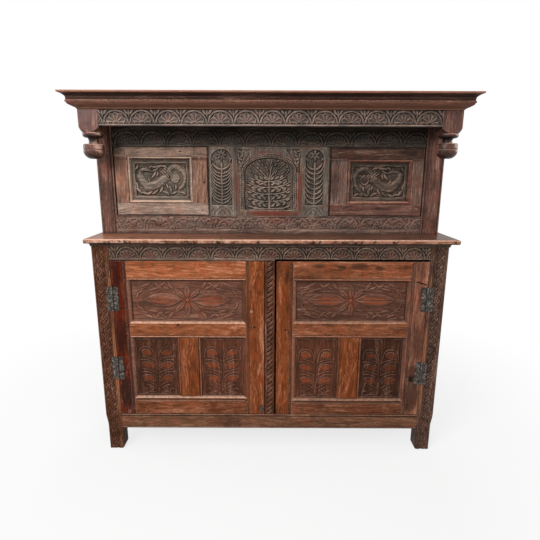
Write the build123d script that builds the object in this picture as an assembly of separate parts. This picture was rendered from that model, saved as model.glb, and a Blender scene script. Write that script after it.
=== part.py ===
from build123d import *
import os

# A joined oak court cupboard in two stages, with a canopy on turned pendants.
# Millimetres. The origin is on the floor, in the middle of the overall box.
# +X runs along the front to the right, +Y to the back, +Z up. The front faces -Y.

# ---------------------------------------------------------------- driving sizes

WIDTH = 1600.0               # over the posts
DEPTH = 530.0                # face of the front posts to the back of the rear posts
HEIGHT = 1668.0              # floor to the top of the cornice
CORNICE_OUT = 60.0           # cornice beyond the posts, at the front and the ends
UPPER_SET_BACK = 146.0       # face of the upper stage behind the face of the lower

# levels above the floor, each rail a (foot, top) pair
BOTTOM_RAIL = (116.0, 192.0)
FLOOR_BOARD = (184.0, 200.0)             # its front edge stops the lower doors
END_MID_RAIL = (588.0, 666.0)
LUNETTE_RAIL = (960.0, 1040.0)
SHELF = (1040.0, 1061.0)
SILL_RAIL = (1061.0, 1145.0)
HEAD_RAIL = (1461.0, 1604.0)
END_HEAD_RAIL = (1452.0, 1536.0)
FRIEZE = (1536.0, 1604.0)
TOP_BOARD = (1604.0, 1622.0)
SOFFIT = (1566.0, 1575.0)

# timber
POST_W = 78.0
POST_D = 60.0
FOOT_ROUND = 7.0             # worn edges of the feet
FOOT_WORN = 18.0             # inner corner of a foot, worn rounder
FOOT_STEP = 8.0              # outer side of a foot, cut in below its shoulder
FOOT_SHOULDER = (130.0, 196.0)
REAR_POST_W = 60.0
REAR_POST_D = 50.0
UPPER_STILE_D = 50.0
RAIL_T = 34.0                # rails of the lower carcase
UPPER_RAIL_T = 30.0
REAR_RAIL_T = 24.0
BACK_T = 14.0
END_MUNTIN_W = 60.0
CORNER_POST = 84.0           # square corner posts that end in the pendants
CORNER_OUT = 6.0             # corner posts beyond the posts of the lower stage
FRIEZE_T = 28.0
CORNICE_BACK = 18.0          # cornice stock that lies over the top boards
FLOOR_BOARDS = 6
BACK_BOARDS = 6
TOP_BOARDS = 3

# joints
TENON_T = 10.0
TENON_L = 34.0
TENON_SHOULDER = 10.0
END_TENON_L = 24.0           # tenons of the canopy bearers
DOOR_TENON_L = 17.0          # tenons of the upper door stiles
STUB = 12.0                  # stub tenons into the shelf
STUB_T = 22.0
STUB_SHOULDER = 20.0
TONGUE = 8.0                 # edge of a panel in its groove
TONGUE_T = 5.0
PANEL_SUNK = 9.0             # panel face behind the frame face
PANEL_BACK = 4.0             # raised field on the inside of a panel
FEATHER = (4.0, 50.0)        # sight size less the start and the end of the back bevel
SOFFIT_TONGUE = 6.0

# run mouldings
BEAD_R = 4.4
QUIRK = 2.8                  # groove beside a bead
CHANNEL_W = 14.0
CHANNEL_DEEP = 4.5
CHANNEL_ROUND = 3.0
STILE_BEVEL = 15.0           # sloping inner edge of a lower door stile
RAIL_BEVEL = 12.0            # sloping top edge of a lower door rail

# doors
GAP = 2.0                    # running gap round every door
CENTRE_MUNTIN_W = 44.0
DOOR_T = 26.0
DOOR_MUNTIN_W = 108.0
# for each lower door: its three rails, hinge stile and lock stile widths, and the
# gap between the lock stile and the centre muntin
LEFT_LOWER = (((196.0, 291.0), (589.0, 672.0), (867.0, 957.0)), 83.0, 98.0, 4.0)
RIGHT_LOWER = (((196.0, 280.0), (592.0, 674.0), (867.0, 957.0)), 91.0, 91.0, 8.5)
RIGHT_RELIEF = 7.0           # lunette rail cut higher over the right door
UPPER_DOOR_T = 24.0
UPPER_DOOR_W = 438.0
# for each upper door: left and right stile widths, bottom and top rail widths
LEFT_UPPER = ((63.0, 75.0), (57.0, 41.0))
RIGHT_UPPER = ((83.0, 55.0), (55.0, 52.0))
STRIP_W = 23.0               # moulding strips round an upper door panel
STRIP_RISE = 1.5             # their ridge in front of the door face

# upper stage, from left to right along the front
UPPER_STILE_LEFT = 75.0
UPPER_MUNTIN_W = 122.0
ARCADE_W = 310.0
FIELD_MARGINS = ((9.0, 15.0), (14.0, 24.0))  # plain wood left and right of a sunk field
FIELD_Z = (1196.0, 1451.0)
FIELD_SUNK = 4.0
ARCADE_SET = 2.0             # arcade panel behind the muntins
ARCADE_T = 22.0
ARCH_W = 232.0
ARCH_Z = (1173.0, 1348.0)    # foot and springing of the arch
ARCH_RISE = 66.0
ARCH_SUNK = 9.0

# shelf
SHELF_FRONT = 32.0
SHELF_LEFT = 20.0
SHELF_RIGHT = 35.5
SHELF_SPLIT = 250.0          # front board's back edge, behind the lower face
NOSE_R = 7.0
BED_OUT = 11.0               # bed mould in front of the rail
BED_HIGH = 16.0
BED_ENDS = (4.0, 5.0)        # beyond the posts, left and right

# turned pendants: radii, and for each one its levels (disc foot, bowl top, ring, foot)
CORNER_POST_FOOT = 1512.0
POST_CONE = 20.0             # height of the turned slope under the square corners
DISC_R = 43.0
NECK_R = 19.5
BOWL_R = 44.5
LEFT_PENDANT = (1490.0, 1464.0, 1441.0, 1402.0)
RIGHT_PENDANT = (1493.0, 1472.0, 1448.0, 1408.0)

# ironwork
PIN_R = 2.5
PIVOT_R = 4.0
PIVOT_DEEP = 22.0            # in the door
PIVOT_FAST = 16.0            # in the rail above or below
RUNNING = 0.05               # radial clearance of a pin in a moving bore
BARREL_R = 4.5
BARREL_OUT = 5.0             # hinge axis in front of the door face
KNUCKLES = 5
KNUCKLE_GAP = 0.4
LEAF_T = 2.5
LEAF_W = 22.0
LEAF_LOBE = 5.0
HINGE_H = 114.0
LEFT_HINGES = (436.0, 779.0)             # middles of the hinges, lower and upper
RIGHT_HINGES = (414.0, 781.0)
BUTTON_PIVOT = (-38.0, 232.0)
BUTTON_R = 8.5
BUTTON_REACH = 27.0
BUTTON_T = 5.0
BUTTON_OFF = 0.3             # button clear of the wood it turns over
NAIL_R = 2.0

# ---------------------------------------------------------------- worked-out places

FRONT = -(DEPTH - CORNICE_OUT) / 2
BACK = FRONT + DEPTH
UPPER = FRONT + UPPER_SET_BACK
SIDE = WIDTH / 2
POST_IN = SIDE - POST_W
REAR_IN = SIDE - REAR_POST_W
REAR_FACE = BACK - REAR_POST_D
HINGE_X = -(POST_IN - GAP / 2)
HINGE_Y = FRONT - BARREL_OUT

CORNER_SIDE = SIDE + CORNER_OUT
UPPER_LEFT_IN = -SIDE + UPPER_STILE_LEFT
LEFT_DOOR = (UPPER_LEFT_IN + GAP, UPPER_LEFT_IN + GAP + UPPER_DOOR_W)
LEFT_MUNTIN = (LEFT_DOOR[1] + GAP, LEFT_DOOR[1] + GAP + UPPER_MUNTIN_W)
ARCADE = (LEFT_MUNTIN[1], LEFT_MUNTIN[1] + ARCADE_W)
RIGHT_MUNTIN = (ARCADE[1], ARCADE[1] + UPPER_MUNTIN_W)
RIGHT_DOOR = (RIGHT_MUNTIN[1] + GAP, RIGHT_MUNTIN[1] + GAP + UPPER_DOOR_W)
UPPER_RIGHT_IN = RIGHT_DOOR[1] + GAP


# ---------------------------------------------------------------- helpers

def block(x, y, z):
    """A plain piece between three (low, high) pairs."""
    size = [high - low for low, high in (x, y, z)]
    middle = [(low + high) / 2 for low, high in (x, y, z)]
    return Pos(*middle) * Box(*size)


def area(x, y):
    """A rectangle in a section, between two (low, high) pairs."""
    return Pos((x[0] + x[1]) / 2, (y[0] + y[1]) / 2) * Rectangle(x[1] - x[0], y[1] - y[0])


def along_z(section, z):
    """Extrude a plan section, drawn in x and y, between two levels."""
    return extrude(Pos(0, 0, z[0]) * section, z[1] - z[0])


def along_x(section, x):
    """Extrude an upright section, drawn in y and z, from left to right."""
    plane = Plane(origin=(x[0], 0, 0), x_dir=(0, 1, 0), z_dir=(1, 0, 0))
    return extrude(plane * section, x[1] - x[0])


def along_y(section, y):
    """Extrude an upright section, drawn in x and z, from front to back."""
    plane = Plane(origin=(0, y[1], 0), x_dir=(1, 0, 0), z_dir=(0, -1, 0))
    return extrude(plane * section, y[1] - y[0])


def rod(radius, x, y, z):
    """An upright round bar, or the hole for one."""
    return Pos(x, y, (z[0] + z[1]) / 2) * Cylinder(radius, z[1] - z[0])


def deep(y, thickness):
    """The (front, back) pair of a piece with its face at y."""
    return (y, y + thickness)


def split(span, count):
    """Share a (low, high) pair between boards that lie edge to edge."""
    width = (span[1] - span[0]) / count
    return [(span[0] + i * width, span[0] + (i + 1) * width) for i in range(count)]


def cheeks(span):
    """The tenon's thickness in the middle of a rail's thickness."""
    middle = (span[0] + span[1]) / 2
    return (middle - TENON_T / 2, middle + TENON_T / 2)


def tenons_x(x, y, z, length=TENON_L):
    """Tenons on both ends of a rail that runs along X."""
    shoulders = (z[0] + TENON_SHOULDER, z[1] - TENON_SHOULDER)
    return block((x[0] - length, x[1] + length), cheeks(y), shoulders)


def tenons_y(x, y, z, length=TENON_L):
    """Tenons on both ends of a rail that runs along Y."""
    shoulders = (z[0] + TENON_SHOULDER, z[1] - TENON_SHOULDER)
    return block(cheeks(x), (y[0] - length, y[1] + length), shoulders)


def tenons_z(x, y, z, length=TENON_L):
    """Tenons on both ends of an upright piece that faces the front."""
    shoulders = (x[0] + TENON_SHOULDER, x[1] - TENON_SHOULDER)
    return block(shoulders, cheeks(y), (z[0] - length, z[1] + length))


def cut_round(piece, *others):
    """Cut the mortises, grooves and housings that the other pieces need."""
    for other in others:
        piece = piece - other
    return piece


def mirrored(piece):
    """The right-hand copy of a left-hand piece."""
    return mirror(piece, about=Plane.YZ)


def on_arris(corner, out, into):
    """A plane in a section: origin on the arris, x over the face, y into the wood."""
    normal = Vector(*out, 0).cross(Vector(*into, 0))
    return Plane(origin=(*corner, 0), x_dir=(*out, 0), z_dir=normal)


def bead_waste():
    """What a scratch stock takes off round a bead: both corners and a quirk beside it."""
    waste = area((0, 2 * BEAD_R), (0, BEAD_R)) - Pos(BEAD_R, BEAD_R) * Circle(BEAD_R)
    return waste + area((2 * BEAD_R - 0.5, 2 * BEAD_R + QUIRK), (0, BEAD_R))


def bead(corner, out, into):
    """A half-round bead on an arris, with its quirk."""
    return on_arris(corner, out, into) * bead_waste()


def channel(start):
    """A shallow flat groove with rounded edges, beside a bead or a bevel."""
    middle = start + CHANNEL_W / 2
    return Pos(middle, 0) * RectangleRounded(CHANNEL_W, 2 * CHANNEL_DEEP, CHANNEL_ROUND)


def bead_and_channel(corner, out, into):
    """A bead on the arris with a shallow channel beside it."""
    return on_arris(corner, out, into) * (bead_waste() + channel(2 * BEAD_R + QUIRK + 1))


def bevel(corner, out, into, width):
    """The sloping edge of a rail or stile beside a panel."""
    slope = make_face(Polyline((0, 0), (width, 0), (0, PANEL_SUNK - 2), close=True))
    return on_arris(corner, out, into) * slope


def bevel_and_channel(corner, out, into, width):
    """A bevel with a shallow channel behind its arris."""
    groove = on_arris(corner, out, into) * channel(width + 2)
    return bevel(corner, out, into, width) + groove


LEFT, RIGHT = (-1, 0), (1, 0)            # directions in a plan section
INWARD = (0, 1)                          # from the front face into the wood, in plan
DOWN, UP = (0, -1), (0, 1)               # directions in an upright section
DEEPER = (1, 0)                          # from the front face into the wood, upright


# ---------------------------------------------------------------- panels

def feathered_panel(plane, wide, high):
    """A riven panel: flat face, thin edges for the grooves, bevelled at the back.

    The plane lies on the face, its normal into the cupboard. wide and high are
    the sight size.
    """
    plate = extrude(plane * Rectangle(wide + 2 * TONGUE, high + 2 * TONGUE), TONGUE_T)
    edge = plane * Pos(0, 0, TONGUE_T) * Rectangle(wide - FEATHER[0], high - FEATHER[0])
    field = plane * Pos(0, 0, TONGUE_T + PANEL_BACK) * Rectangle(wide - FEATHER[1], high - FEATHER[1])
    return plate + loft([edge.face(), field.face()])


def front_panel(x, z, face):
    """A panel that faces the front, between its frame's sight edges."""
    middle = ((x[0] + x[1]) / 2, face, (z[0] + z[1]) / 2)
    plane = Plane(origin=middle, x_dir=(1, 0, 0), z_dir=(0, 1, 0))
    return feathered_panel(plane, x[1] - x[0], z[1] - z[0])


def left_end_panel(y, z):
    """A panel that faces the left end."""
    middle = (-SIDE + PANEL_SUNK, (y[0] + y[1]) / 2, (z[0] + z[1]) / 2)
    plane = Plane(origin=middle, x_dir=(0, 1, 0), z_dir=(1, 0, 0))
    return feathered_panel(plane, y[1] - y[0], z[1] - z[0])


# ---------------------------------------------------------------- lower stage

def front_post():
    """Left front post: beads down both arrises, the foot cut in and worn round."""
    span, y, z = (-SIDE, -POST_IN), deep(FRONT, POST_D), (0, SHELF[0])
    plan = area(span, y) - bead((-SIDE, FRONT), RIGHT, INWARD) - bead((-POST_IN, FRONT), LEFT, INWARD)
    envelope = block(span, y, z)
    ground = [edge for edge in envelope.edges().filter_by(Axis.Y) if edge.center().Z < 1]
    envelope = fillet([edge for edge in ground if edge.center().X > -POST_IN - 1], FOOT_WORN)
    ground = [edge for edge in envelope.edges().filter_by(Axis.X) if edge.center().Z < 1]
    envelope = fillet([edge for edge in ground if edge.center().Y < y[0] + 1], FOOT_ROUND)
    low, high = FOOT_SHOULDER
    step = -SIDE + FOOT_STEP
    slope = Line((-SIDE, high), (step, low))
    shoulder = ThreePointArc(slope @ 0, (-SIDE + FOOT_STEP * 0.3, low + 24), slope @ 1)
    rest = Polyline((step, low), (step, 0), (-SIDE, 0), (-SIDE, high))
    worn = along_z(plan, z) & envelope
    worn -= along_y(make_face(shoulder + rest), y)
    stub = block((span[0] + STUB_SHOULDER, span[1] - STUB_SHOULDER),
                 (y[0] + STUB_SHOULDER, y[0] + STUB_SHOULDER + STUB_T), (SHELF[0], SHELF[0] + STUB))
    return worn + stub


def rear_post():
    """Left rear post, floor to top boards."""
    return block((-SIDE, -REAR_IN), (REAR_FACE, BACK), (0, TOP_BOARD[0]))


def lunette_rail():
    """Front top rail of the lower stage, under the shelf."""
    x, y = (-POST_IN, POST_IN), deep(FRONT, RAIL_T)
    relief = block((CENTRE_MUNTIN_W / 2, POST_IN), y, (LUNETTE_RAIL[0], LUNETTE_RAIL[0] + RIGHT_RELIEF))
    return block(x, y, LUNETTE_RAIL) + tenons_x(x, y, LUNETTE_RAIL) - relief


def bottom_rail():
    """Front bottom rail with a bead on both edges."""
    x, y = (-POST_IN, POST_IN), deep(FRONT, RAIL_T)
    foot, top = BOTTOM_RAIL
    section = area(y, BOTTOM_RAIL) - bead((FRONT, top), DOWN, DEEPER) - bead((FRONT, foot), UP, DEEPER)
    return along_x(section, x) + tenons_x(x, y, BOTTOM_RAIL)


def centre_muntin():
    """Upright between the lower doors."""
    x, y = (-CENTRE_MUNTIN_W / 2, CENTRE_MUNTIN_W / 2), deep(FRONT, RAIL_T)
    z = (BOTTOM_RAIL[1], LUNETTE_RAIL[0])
    return block(x, y, z) + tenons_z(x, y, z)


def end_frame():
    """Rails and muntins of the left lower end, and the sight sizes of its panels."""
    x, y = deep(-SIDE, RAIL_T), (FRONT + POST_D, REAR_FACE)
    rails = [block(x, y, z) + tenons_y(x, y, z) for z in (BOTTOM_RAIL, END_MID_RAIL, LUNETTE_RAIL)]
    middle = (y[0] + y[1]) / 2
    upright = (middle - END_MUNTIN_W / 2, middle + END_MUNTIN_W / 2)
    stages = ((BOTTOM_RAIL[1], END_MID_RAIL[0]), (END_MID_RAIL[1], LUNETTE_RAIL[0]))
    muntins = []
    openings = []
    for foot, top in stages:
        tenon = block(cheeks(x), (upright[0] + TENON_SHOULDER, upright[1] - TENON_SHOULDER),
                      (foot - TENON_L / 2, top + TENON_L / 2))
        muntins.append(block(x, upright, (foot, top)) + tenon)
        openings += [((y[0], upright[0]), (foot, top)), ((upright[1], y[1]), (foot, top))]
    return rails, muntins, openings


def rear_rails():
    """Three rails between the rear posts, in front of the back boards."""
    x, y = (-REAR_IN, REAR_IN), (BACK - BACK_T - REAR_RAIL_T, BACK - BACK_T)
    levels = (BOTTOM_RAIL, LUNETTE_RAIL, (1530.0, TOP_BOARD[0]))
    return [block(x, y, z) + tenons_x(x, y, z) for z in levels]


def back_boards():
    """Upright boards nailed to the rear rails, between the rear posts."""
    z = (BOTTOM_RAIL[0], TOP_BOARD[0])
    return [block(x, (BACK - BACK_T, BACK), z) for x in split((-REAR_IN, REAR_IN), BACK_BOARDS)]


def floor_boards():
    """Boards from front to back, in rebates of the front and rear rails."""
    y = (FRONT + DOOR_T + GAP, BACK - BACK_T - REAR_RAIL_T / 2)
    span = (-SIDE + RAIL_T, SIDE - RAIL_T)
    return [block(x, y, FLOOR_BOARD) for x in split(span, FLOOR_BOARDS)]


def shelf_boards():
    """Two long boards: the front one has a rounded nose on three sides."""
    x, nose_y = (-SIDE - SHELF_LEFT, SIDE + SHELF_RIGHT), FRONT - SHELF_FRONT
    front = block(x, (nose_y, FRONT + SHELF_SPLIT), SHELF)
    nose = [edge for edge in front.edges().filter_by(Axis.X) if edge.center().Y < nose_y + 1]
    rear = block(x, (FRONT + SHELF_SPLIT, BACK - BACK_T), SHELF)
    return [fillet(nose + list(front.edges().filter_by(Axis.Y)), NOSE_R),
            fillet(rear.edges().filter_by(Axis.Y), NOSE_R)]


def bed_mould():
    """Small cavetto under the shelf's front edge."""
    foot, out = SHELF[0] - BED_HIGH, FRONT - BED_OUT
    outline = Polyline((FRONT, foot), (FRONT, SHELF[0]), (out, SHELF[0]), (out, SHELF[0] - 4))
    hollow = RadiusArc(outline @ 1, outline @ 0, BED_HIGH)
    return along_x(make_face(outline + hollow), (-SIDE - BED_ENDS[0], SIDE + BED_ENDS[1]))


# ---------------------------------------------------------------- upper stage

def upper_stile(x, inner, out):
    """Upper stile: channel and bead by the door, a bead on the outer arris.

    inner is its arris by the door and out points from there to the outer side.
    """
    outer = x[0] + x[1] - inner
    plan = area(x, deep(UPPER, UPPER_STILE_D))
    plan -= bead_and_channel((inner, UPPER), out, INWARD)
    plan -= bead((outer, UPPER), (-out[0], 0), INWARD)
    stub_y = UPPER + (UPPER_STILE_D - STUB_T) / 2
    stub_x = (x[0] + STUB_SHOULDER, x[1] - STUB_SHOULDER)
    stub = block(stub_x, (stub_y, stub_y + STUB_T), (SHELF[1] - STUB, SHELF[1]))
    return along_z(plan, (SHELF[1], TOP_BOARD[0])) + stub


def upper_rail(z):
    """Carved rail across the upper front."""
    x, y = (UPPER_LEFT_IN, UPPER_RIGHT_IN), deep(UPPER, UPPER_RAIL_T)
    return block(x, y, z) + tenons_x(x, y, z)


def upper_muntin(x, margins):
    """Upright with a round-topped sunk field for its carving."""
    y, z = deep(UPPER, UPPER_RAIL_T), (SILL_RAIL[1], HEAD_RAIL[0])
    sides = (x[0] + margins[0], x[1] - margins[1])
    middle, radius = (sides[0] + sides[1]) / 2, (sides[1] - sides[0]) / 2
    field = area(sides, (FIELD_Z[0], FIELD_Z[1] - radius))
    field += Pos(middle, FIELD_Z[1] - radius) * Circle(radius)
    muntin = block(x, y, z) + tenons_z(x, y, z)
    return muntin - along_y(field, deep(UPPER, FIELD_SUNK))


def arcade_panel():
    """The middle panel, sunk within a round arch."""
    y, z = deep(UPPER + ARCADE_SET, ARCADE_T), (SILL_RAIL[1], HEAD_RAIL[0])
    middle = (ARCADE[0] + ARCADE[1]) / 2
    radius = ARCH_W / 2
    arch = area((middle - radius, middle + radius), ARCH_Z)
    arch += Pos(middle, ARCH_Z[1]) * Ellipse(radius, ARCH_RISE)
    tongue_x = (ARCADE[0] - TONGUE, ARCADE[1] + TONGUE)
    tongue_z = (z[0] - TONGUE, z[1] + TONGUE)
    tongues = block(tongue_x, deep(y[0] + ARCADE_T / 2, TONGUE_T), tongue_z)
    return block(ARCADE, y, z) + tongues - along_y(arch, deep(y[0], ARCH_SUNK))


def upper_end_rails():
    """Two rails of the left upper end."""
    x, y = deep(-SIDE, RAIL_T), (UPPER + UPPER_STILE_D, REAR_FACE)
    return [block(x, y, z) + tenons_y(x, y, z) for z in (SILL_RAIL, END_HEAD_RAIL)]


# ---------------------------------------------------------------- canopy

def frieze_board():
    """Carved frieze between the corner posts, with a bead on its lower edge."""
    x, y = (-CORNER_SIDE + CORNER_POST, CORNER_SIDE - CORNER_POST), deep(FRONT, FRIEZE_T)
    section = area(y, FRIEZE) - bead((FRONT, FRIEZE[0]), UP, DEEPER)
    return along_x(section, x) + tenons_x(x, y, FRIEZE)


def canopy_bearer():
    """Left end rail of the canopy, from the corner post back to the rear post."""
    x, y = deep(-SIDE, FRIEZE_T), (FRONT + CORNER_POST, REAR_FACE)
    return block(x, y, FRIEZE) + tenons_y(x, y, FRIEZE, END_TENON_L)


def corner_pendant(levels):
    """Left corner post of the canopy, its lower end turned as a hanging bowl.

    The square corners slope into a cup-shaped disc; a hollow neck joins it to the bowl.
    """
    disc_foot, bowl_top, ring, foot = levels
    top, half = CORNER_POST_FOOT, CORNER_POST / 2
    corner = half * 2 ** 0.5 + 1
    with BuildSketch(Plane.XZ) as lathe_cut:
        Polygon((0, top), (half, top), (corner, top + POST_CONE), (corner, TOP_BOARD[0]), (0, TOP_BOARD[0]),
                align=None)
    with BuildSketch(Plane.XZ) as turning:
        with BuildLine():
            Line((0, foot), (12, foot))
            ThreePointArc((12, foot), (BOWL_R - 8, foot + 12), (BOWL_R, ring - 2))
            ThreePointArc((BOWL_R, ring - 2), (BOWL_R - 2, ring), (BOWL_R, ring + 2))
            Line((BOWL_R, ring + 2), (BOWL_R - 1, bowl_top - 4))
            ThreePointArc((BOWL_R - 1, bowl_top - 4), (BOWL_R - 2.5, bowl_top - 1), (BOWL_R - 6, bowl_top))
            Line((BOWL_R - 6, bowl_top), (NECK_R + 2, bowl_top + 1))
            ThreePointArc((NECK_R + 2, bowl_top + 1), (NECK_R, bowl_top + 10), (NECK_R + 4, disc_foot - 1))
            Line((NECK_R + 4, disc_foot - 1), (DISC_R - 13, disc_foot))
            ThreePointArc((DISC_R - 13, disc_foot), (DISC_R - 2, disc_foot + 6), (DISC_R, disc_foot + 14))
            ThreePointArc((DISC_R, disc_foot + 14), (DISC_R - 0.6, top - 2), (DISC_R - 2, top))
            Line((DISC_R - 2, top), (0, top))
            Line((0, top), (0, foot))
        make_face()
    axis = Pos(-CORNER_SIDE + half, FRONT + half, 0)
    post = block((-CORNER_SIDE, -CORNER_SIDE + CORNER_POST), deep(FRONT, CORNER_POST), (top, TOP_BOARD[0]))
    square = post & axis * revolve(lathe_cut.sketch, Axis.Z)
    return square + axis * revolve(turning.sketch, Axis.Z)


def soffit_board():
    """Thin board that closes the canopy underneath, in grooves."""
    x = (-SIDE + FRIEZE_T - SOFFIT_TONGUE, SIDE - FRIEZE_T + SOFFIT_TONGUE)
    return block(x, (FRONT + FRIEZE_T - SOFFIT_TONGUE, UPPER + SOFFIT_TONGUE), SOFFIT)


def top_boards():
    """Boards along the top, within the cornice."""
    return [block((-SIDE, SIDE), y, TOP_BOARD) for y in split((FRONT, BACK), TOP_BOARDS)]


def cornice_section():
    """The cornice's section: x outward from the frieze face, y up.

    A cyma below, a fillet nose, a flat band, and a cavetto under the top edge.
    The back is rebated over the top boards.
    """
    foot, top = TOP_BOARD[0], HEIGHT
    with BuildSketch() as section:
        with BuildLine():
            Polyline((0, TOP_BOARD[1]), (0, foot), (7, foot), (8, foot + 3))
            ThreePointArc((8, foot + 3), (17, foot + 7), (26, foot + 12))
            ThreePointArc((26, foot + 12), (32, foot + 16), (35, foot + 22))
            Polyline((35, foot + 22), (38, foot + 23), (38, foot + 29), (35, foot + 31), (36, foot + 43))
            ThreePointArc((36, foot + 43), (43, foot + 50), (54, foot + 55.5))
            Polyline((54, foot + 55.5), (CORNICE_OUT, foot + 57.5), (CORNICE_OUT, top), (-CORNICE_BACK, top),
                     (-CORNICE_BACK, TOP_BOARD[1]), (0, TOP_BOARD[1]))
        make_face()
    return section.sketch


def cornice():
    """Front cornice and its two returns, mitred at the corners."""
    tip, inner = SIDE + CORNICE_OUT, SIDE - CORNICE_BACK
    front_y, inner_y = FRONT - CORNICE_OUT, FRONT + CORNICE_BACK
    section = cornice_section()
    across = Plane(origin=(tip, FRONT, 0), x_dir=(0, -1, 0), z_dir=(-1, 0, 0))
    back = Plane(origin=(-SIDE, front_y, 0), x_dir=(-1, 0, 0), z_dir=(0, 1, 0))
    corners = ((-tip, front_y), (tip, front_y), (inner, inner_y), (-inner, inner_y))
    mitre = make_face(Polyline(*corners, close=True))
    wedge = along_z(mitre, (TOP_BOARD[0], HEIGHT))
    front = extrude(across * section, 2 * tip) & wedge
    left = extrude(back * section, BACK - front_y) - wedge
    return front, left, mirrored(left)


# ---------------------------------------------------------------- doors

def lower_door(rail_z, hinge_w, lock_w, lock_gap):
    """Pieces of a lower door, built as the left one.

    The rails and the stiles meet at the panels' sight edges, but the rails' faces
    run on over the stiles' bevels as far as the channels.
    """
    y = deep(FRONT, DOOR_T)
    foot, top = rail_z[0][0], rail_z[2][1]
    hinge_x = (-POST_IN + GAP, -POST_IN + GAP + hinge_w)
    lock_side = -CENTRE_MUNTIN_W / 2 - lock_gap
    lock_x = (lock_side - lock_w, lock_side)
    x = (hinge_x[1], lock_x[0])
    hinge_plan = area(hinge_x, y) - bevel_and_channel((x[0], FRONT), LEFT, INWARD, STILE_BEVEL)
    lock_plan = area(lock_x, y) - bevel_and_channel((x[1], FRONT), RIGHT, INWARD, STILE_BEVEL)
    stiles = [along_z(plan, (foot, top)) for plan in (hinge_plan, lock_plan)]

    low, mid, high = rail_z
    low_edge = bevel_and_channel((FRONT, low[1]), DOWN, DEEPER, RAIL_BEVEL)
    sections = (
        area(y, low) - low_edge,
        area(y, mid) - bevel((FRONT, mid[1]), DOWN, DEEPER, RAIL_BEVEL) - bead((FRONT, mid[0]), UP, DEEPER),
        area(y, high) - bead((FRONT, high[0]), UP, DEEPER),
    )
    over = (x[0] - STILE_BEVEL, x[1] + STILE_BEVEL)
    rails = [cut_round(along_x(section, over), *stiles) for section in sections]
    rails = [rail + tenons_x(x, y, z) for rail, z in zip(rails, rail_z)]

    middle = (x[0] + x[1]) / 2
    muntin_x = (middle - DOOR_MUNTIN_W / 2, middle + DOOR_MUNTIN_W / 2)
    muntin_z = (low[1], mid[0])
    beads = bead((muntin_x[0], FRONT), RIGHT, INWARD) + bead((muntin_x[1], FRONT), LEFT, INWARD)
    plan = area(muntin_x, y) - beads
    muntin = along_z(plan, muntin_z) + tenons_z(muntin_x, y, muntin_z)

    face = FRONT + PANEL_SUNK
    wide = front_panel(x, (mid[1], high[0]), face)
    small = [front_panel(sight, muntin_z, face) for sight in ((x[0], muntin_x[0]), (muntin_x[1], x[1]))]

    muntin = cut_round(muntin, *small)
    rails = [cut_round(rail, muntin, wide, *small) for rail in rails]
    stiles = [cut_round(stile, *rails, wide, *small) for stile in stiles]
    return stiles, rails, muntin, wide, small


def strip_section():
    """Section of a moulding strip: x from its frame inward, y forward of the door face."""
    ridge = 9.0
    with BuildSketch() as section:
        with BuildLine():
            Polyline((3, 0), (2.5, -3.5), (0, -3.5), (0, -PANEL_SUNK), (STRIP_W, -PANEL_SUNK),
                     (STRIP_W, -PANEL_SUNK + 2.5), (STRIP_W - 2, -PANEL_SUNK + 2.5), (ridge, 0))
            ThreePointArc((ridge, 0), (ridge - 3, STRIP_RISE), (3, 0))
        make_face()
    return section.sketch


def strips(x, z, face):
    """Four mitred moulding strips round an opening, in front of its panel."""
    section = strip_section()
    outer = [(x[0], z[0]), (x[1], z[0]), (x[1], z[1]), (x[0], z[1])]
    inner = [(x[0] + STRIP_W, z[0] + STRIP_W), (x[1] - STRIP_W, z[0] + STRIP_W),
             (x[1] - STRIP_W, z[1] - STRIP_W), (x[0] + STRIP_W, z[1] - STRIP_W)]
    pieces = []
    for i in range(4):
        j = (i + 1) % 4
        run = Vector(outer[j][0] - outer[i][0], 0, outer[j][1] - outer[i][1])
        inward = Vector(0, -1, 0).cross(run.normalized())
        plane = Plane(origin=(outer[i][0], face, outer[i][1]), x_dir=inward, z_dir=run.normalized())
        mitre = make_face(Polyline(outer[i], outer[j], inner[j], inner[i], close=True))
        bar = extrude(plane * section, run.length)
        pieces.append(bar & along_y(mitre, (face - STRIP_RISE - 1, face + PANEL_SUNK + 1)))
    return pieces


def upper_door(x, hinge, stile_w, rail_h):
    """Pieces of an upper door. hinge is -1 or 1, the side of its pivots."""
    y = deep(UPPER, UPPER_DOOR_T)
    foot, top = SILL_RAIL[1] + GAP, HEAD_RAIL[0] - GAP
    radius = UPPER_DOOR_T / 2
    pivot_x = (x[0] if hinge < 0 else x[1]) - hinge * radius
    free = (pivot_x, x[1]) if hinge < 0 else (x[0], pivot_x)
    plan = area(free, y) + Pos(pivot_x, UPPER + radius) * Circle(radius)
    bores = [rod(PIVOT_R + RUNNING, pivot_x, UPPER + radius, (foot, foot + PIVOT_DEEP + 1)),
             rod(PIVOT_R + RUNNING, pivot_x, UPPER + radius, (top - PIVOT_DEEP - 1, top))]

    rail_z = ((foot, foot + rail_h[0]), (top - rail_h[1], top))
    z = (rail_z[0][1], rail_z[1][0])
    rails = [along_z(plan, span) - bore for span, bore in zip(rail_z, bores)]
    stile_x = ((x[0], x[0] + stile_w[0]), (x[1] - stile_w[1], x[1]))
    stiles = [along_z(plan & area(span, y), z) + tenons_z(span, y, z, DOOR_TENON_L) for span in stile_x]
    opening = (stile_x[0][1], stile_x[1][0])
    panel = front_panel(opening, z, UPPER + PANEL_SUNK)
    stiles = [cut_round(stile, panel) for stile in stiles]
    rails = [cut_round(rail, panel, *stiles) for rail in rails]
    pins = [rod(PIVOT_R, pivot_x, UPPER + radius, (foot - GAP - PIVOT_FAST, foot + PIVOT_DEEP)),
            rod(PIVOT_R, pivot_x, UPPER + radius, (top - PIVOT_DEEP, top + GAP + PIVOT_FAST))]
    return rails, stiles, panel, strips(opening, z, UPPER), pins


# ---------------------------------------------------------------- ironwork

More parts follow.
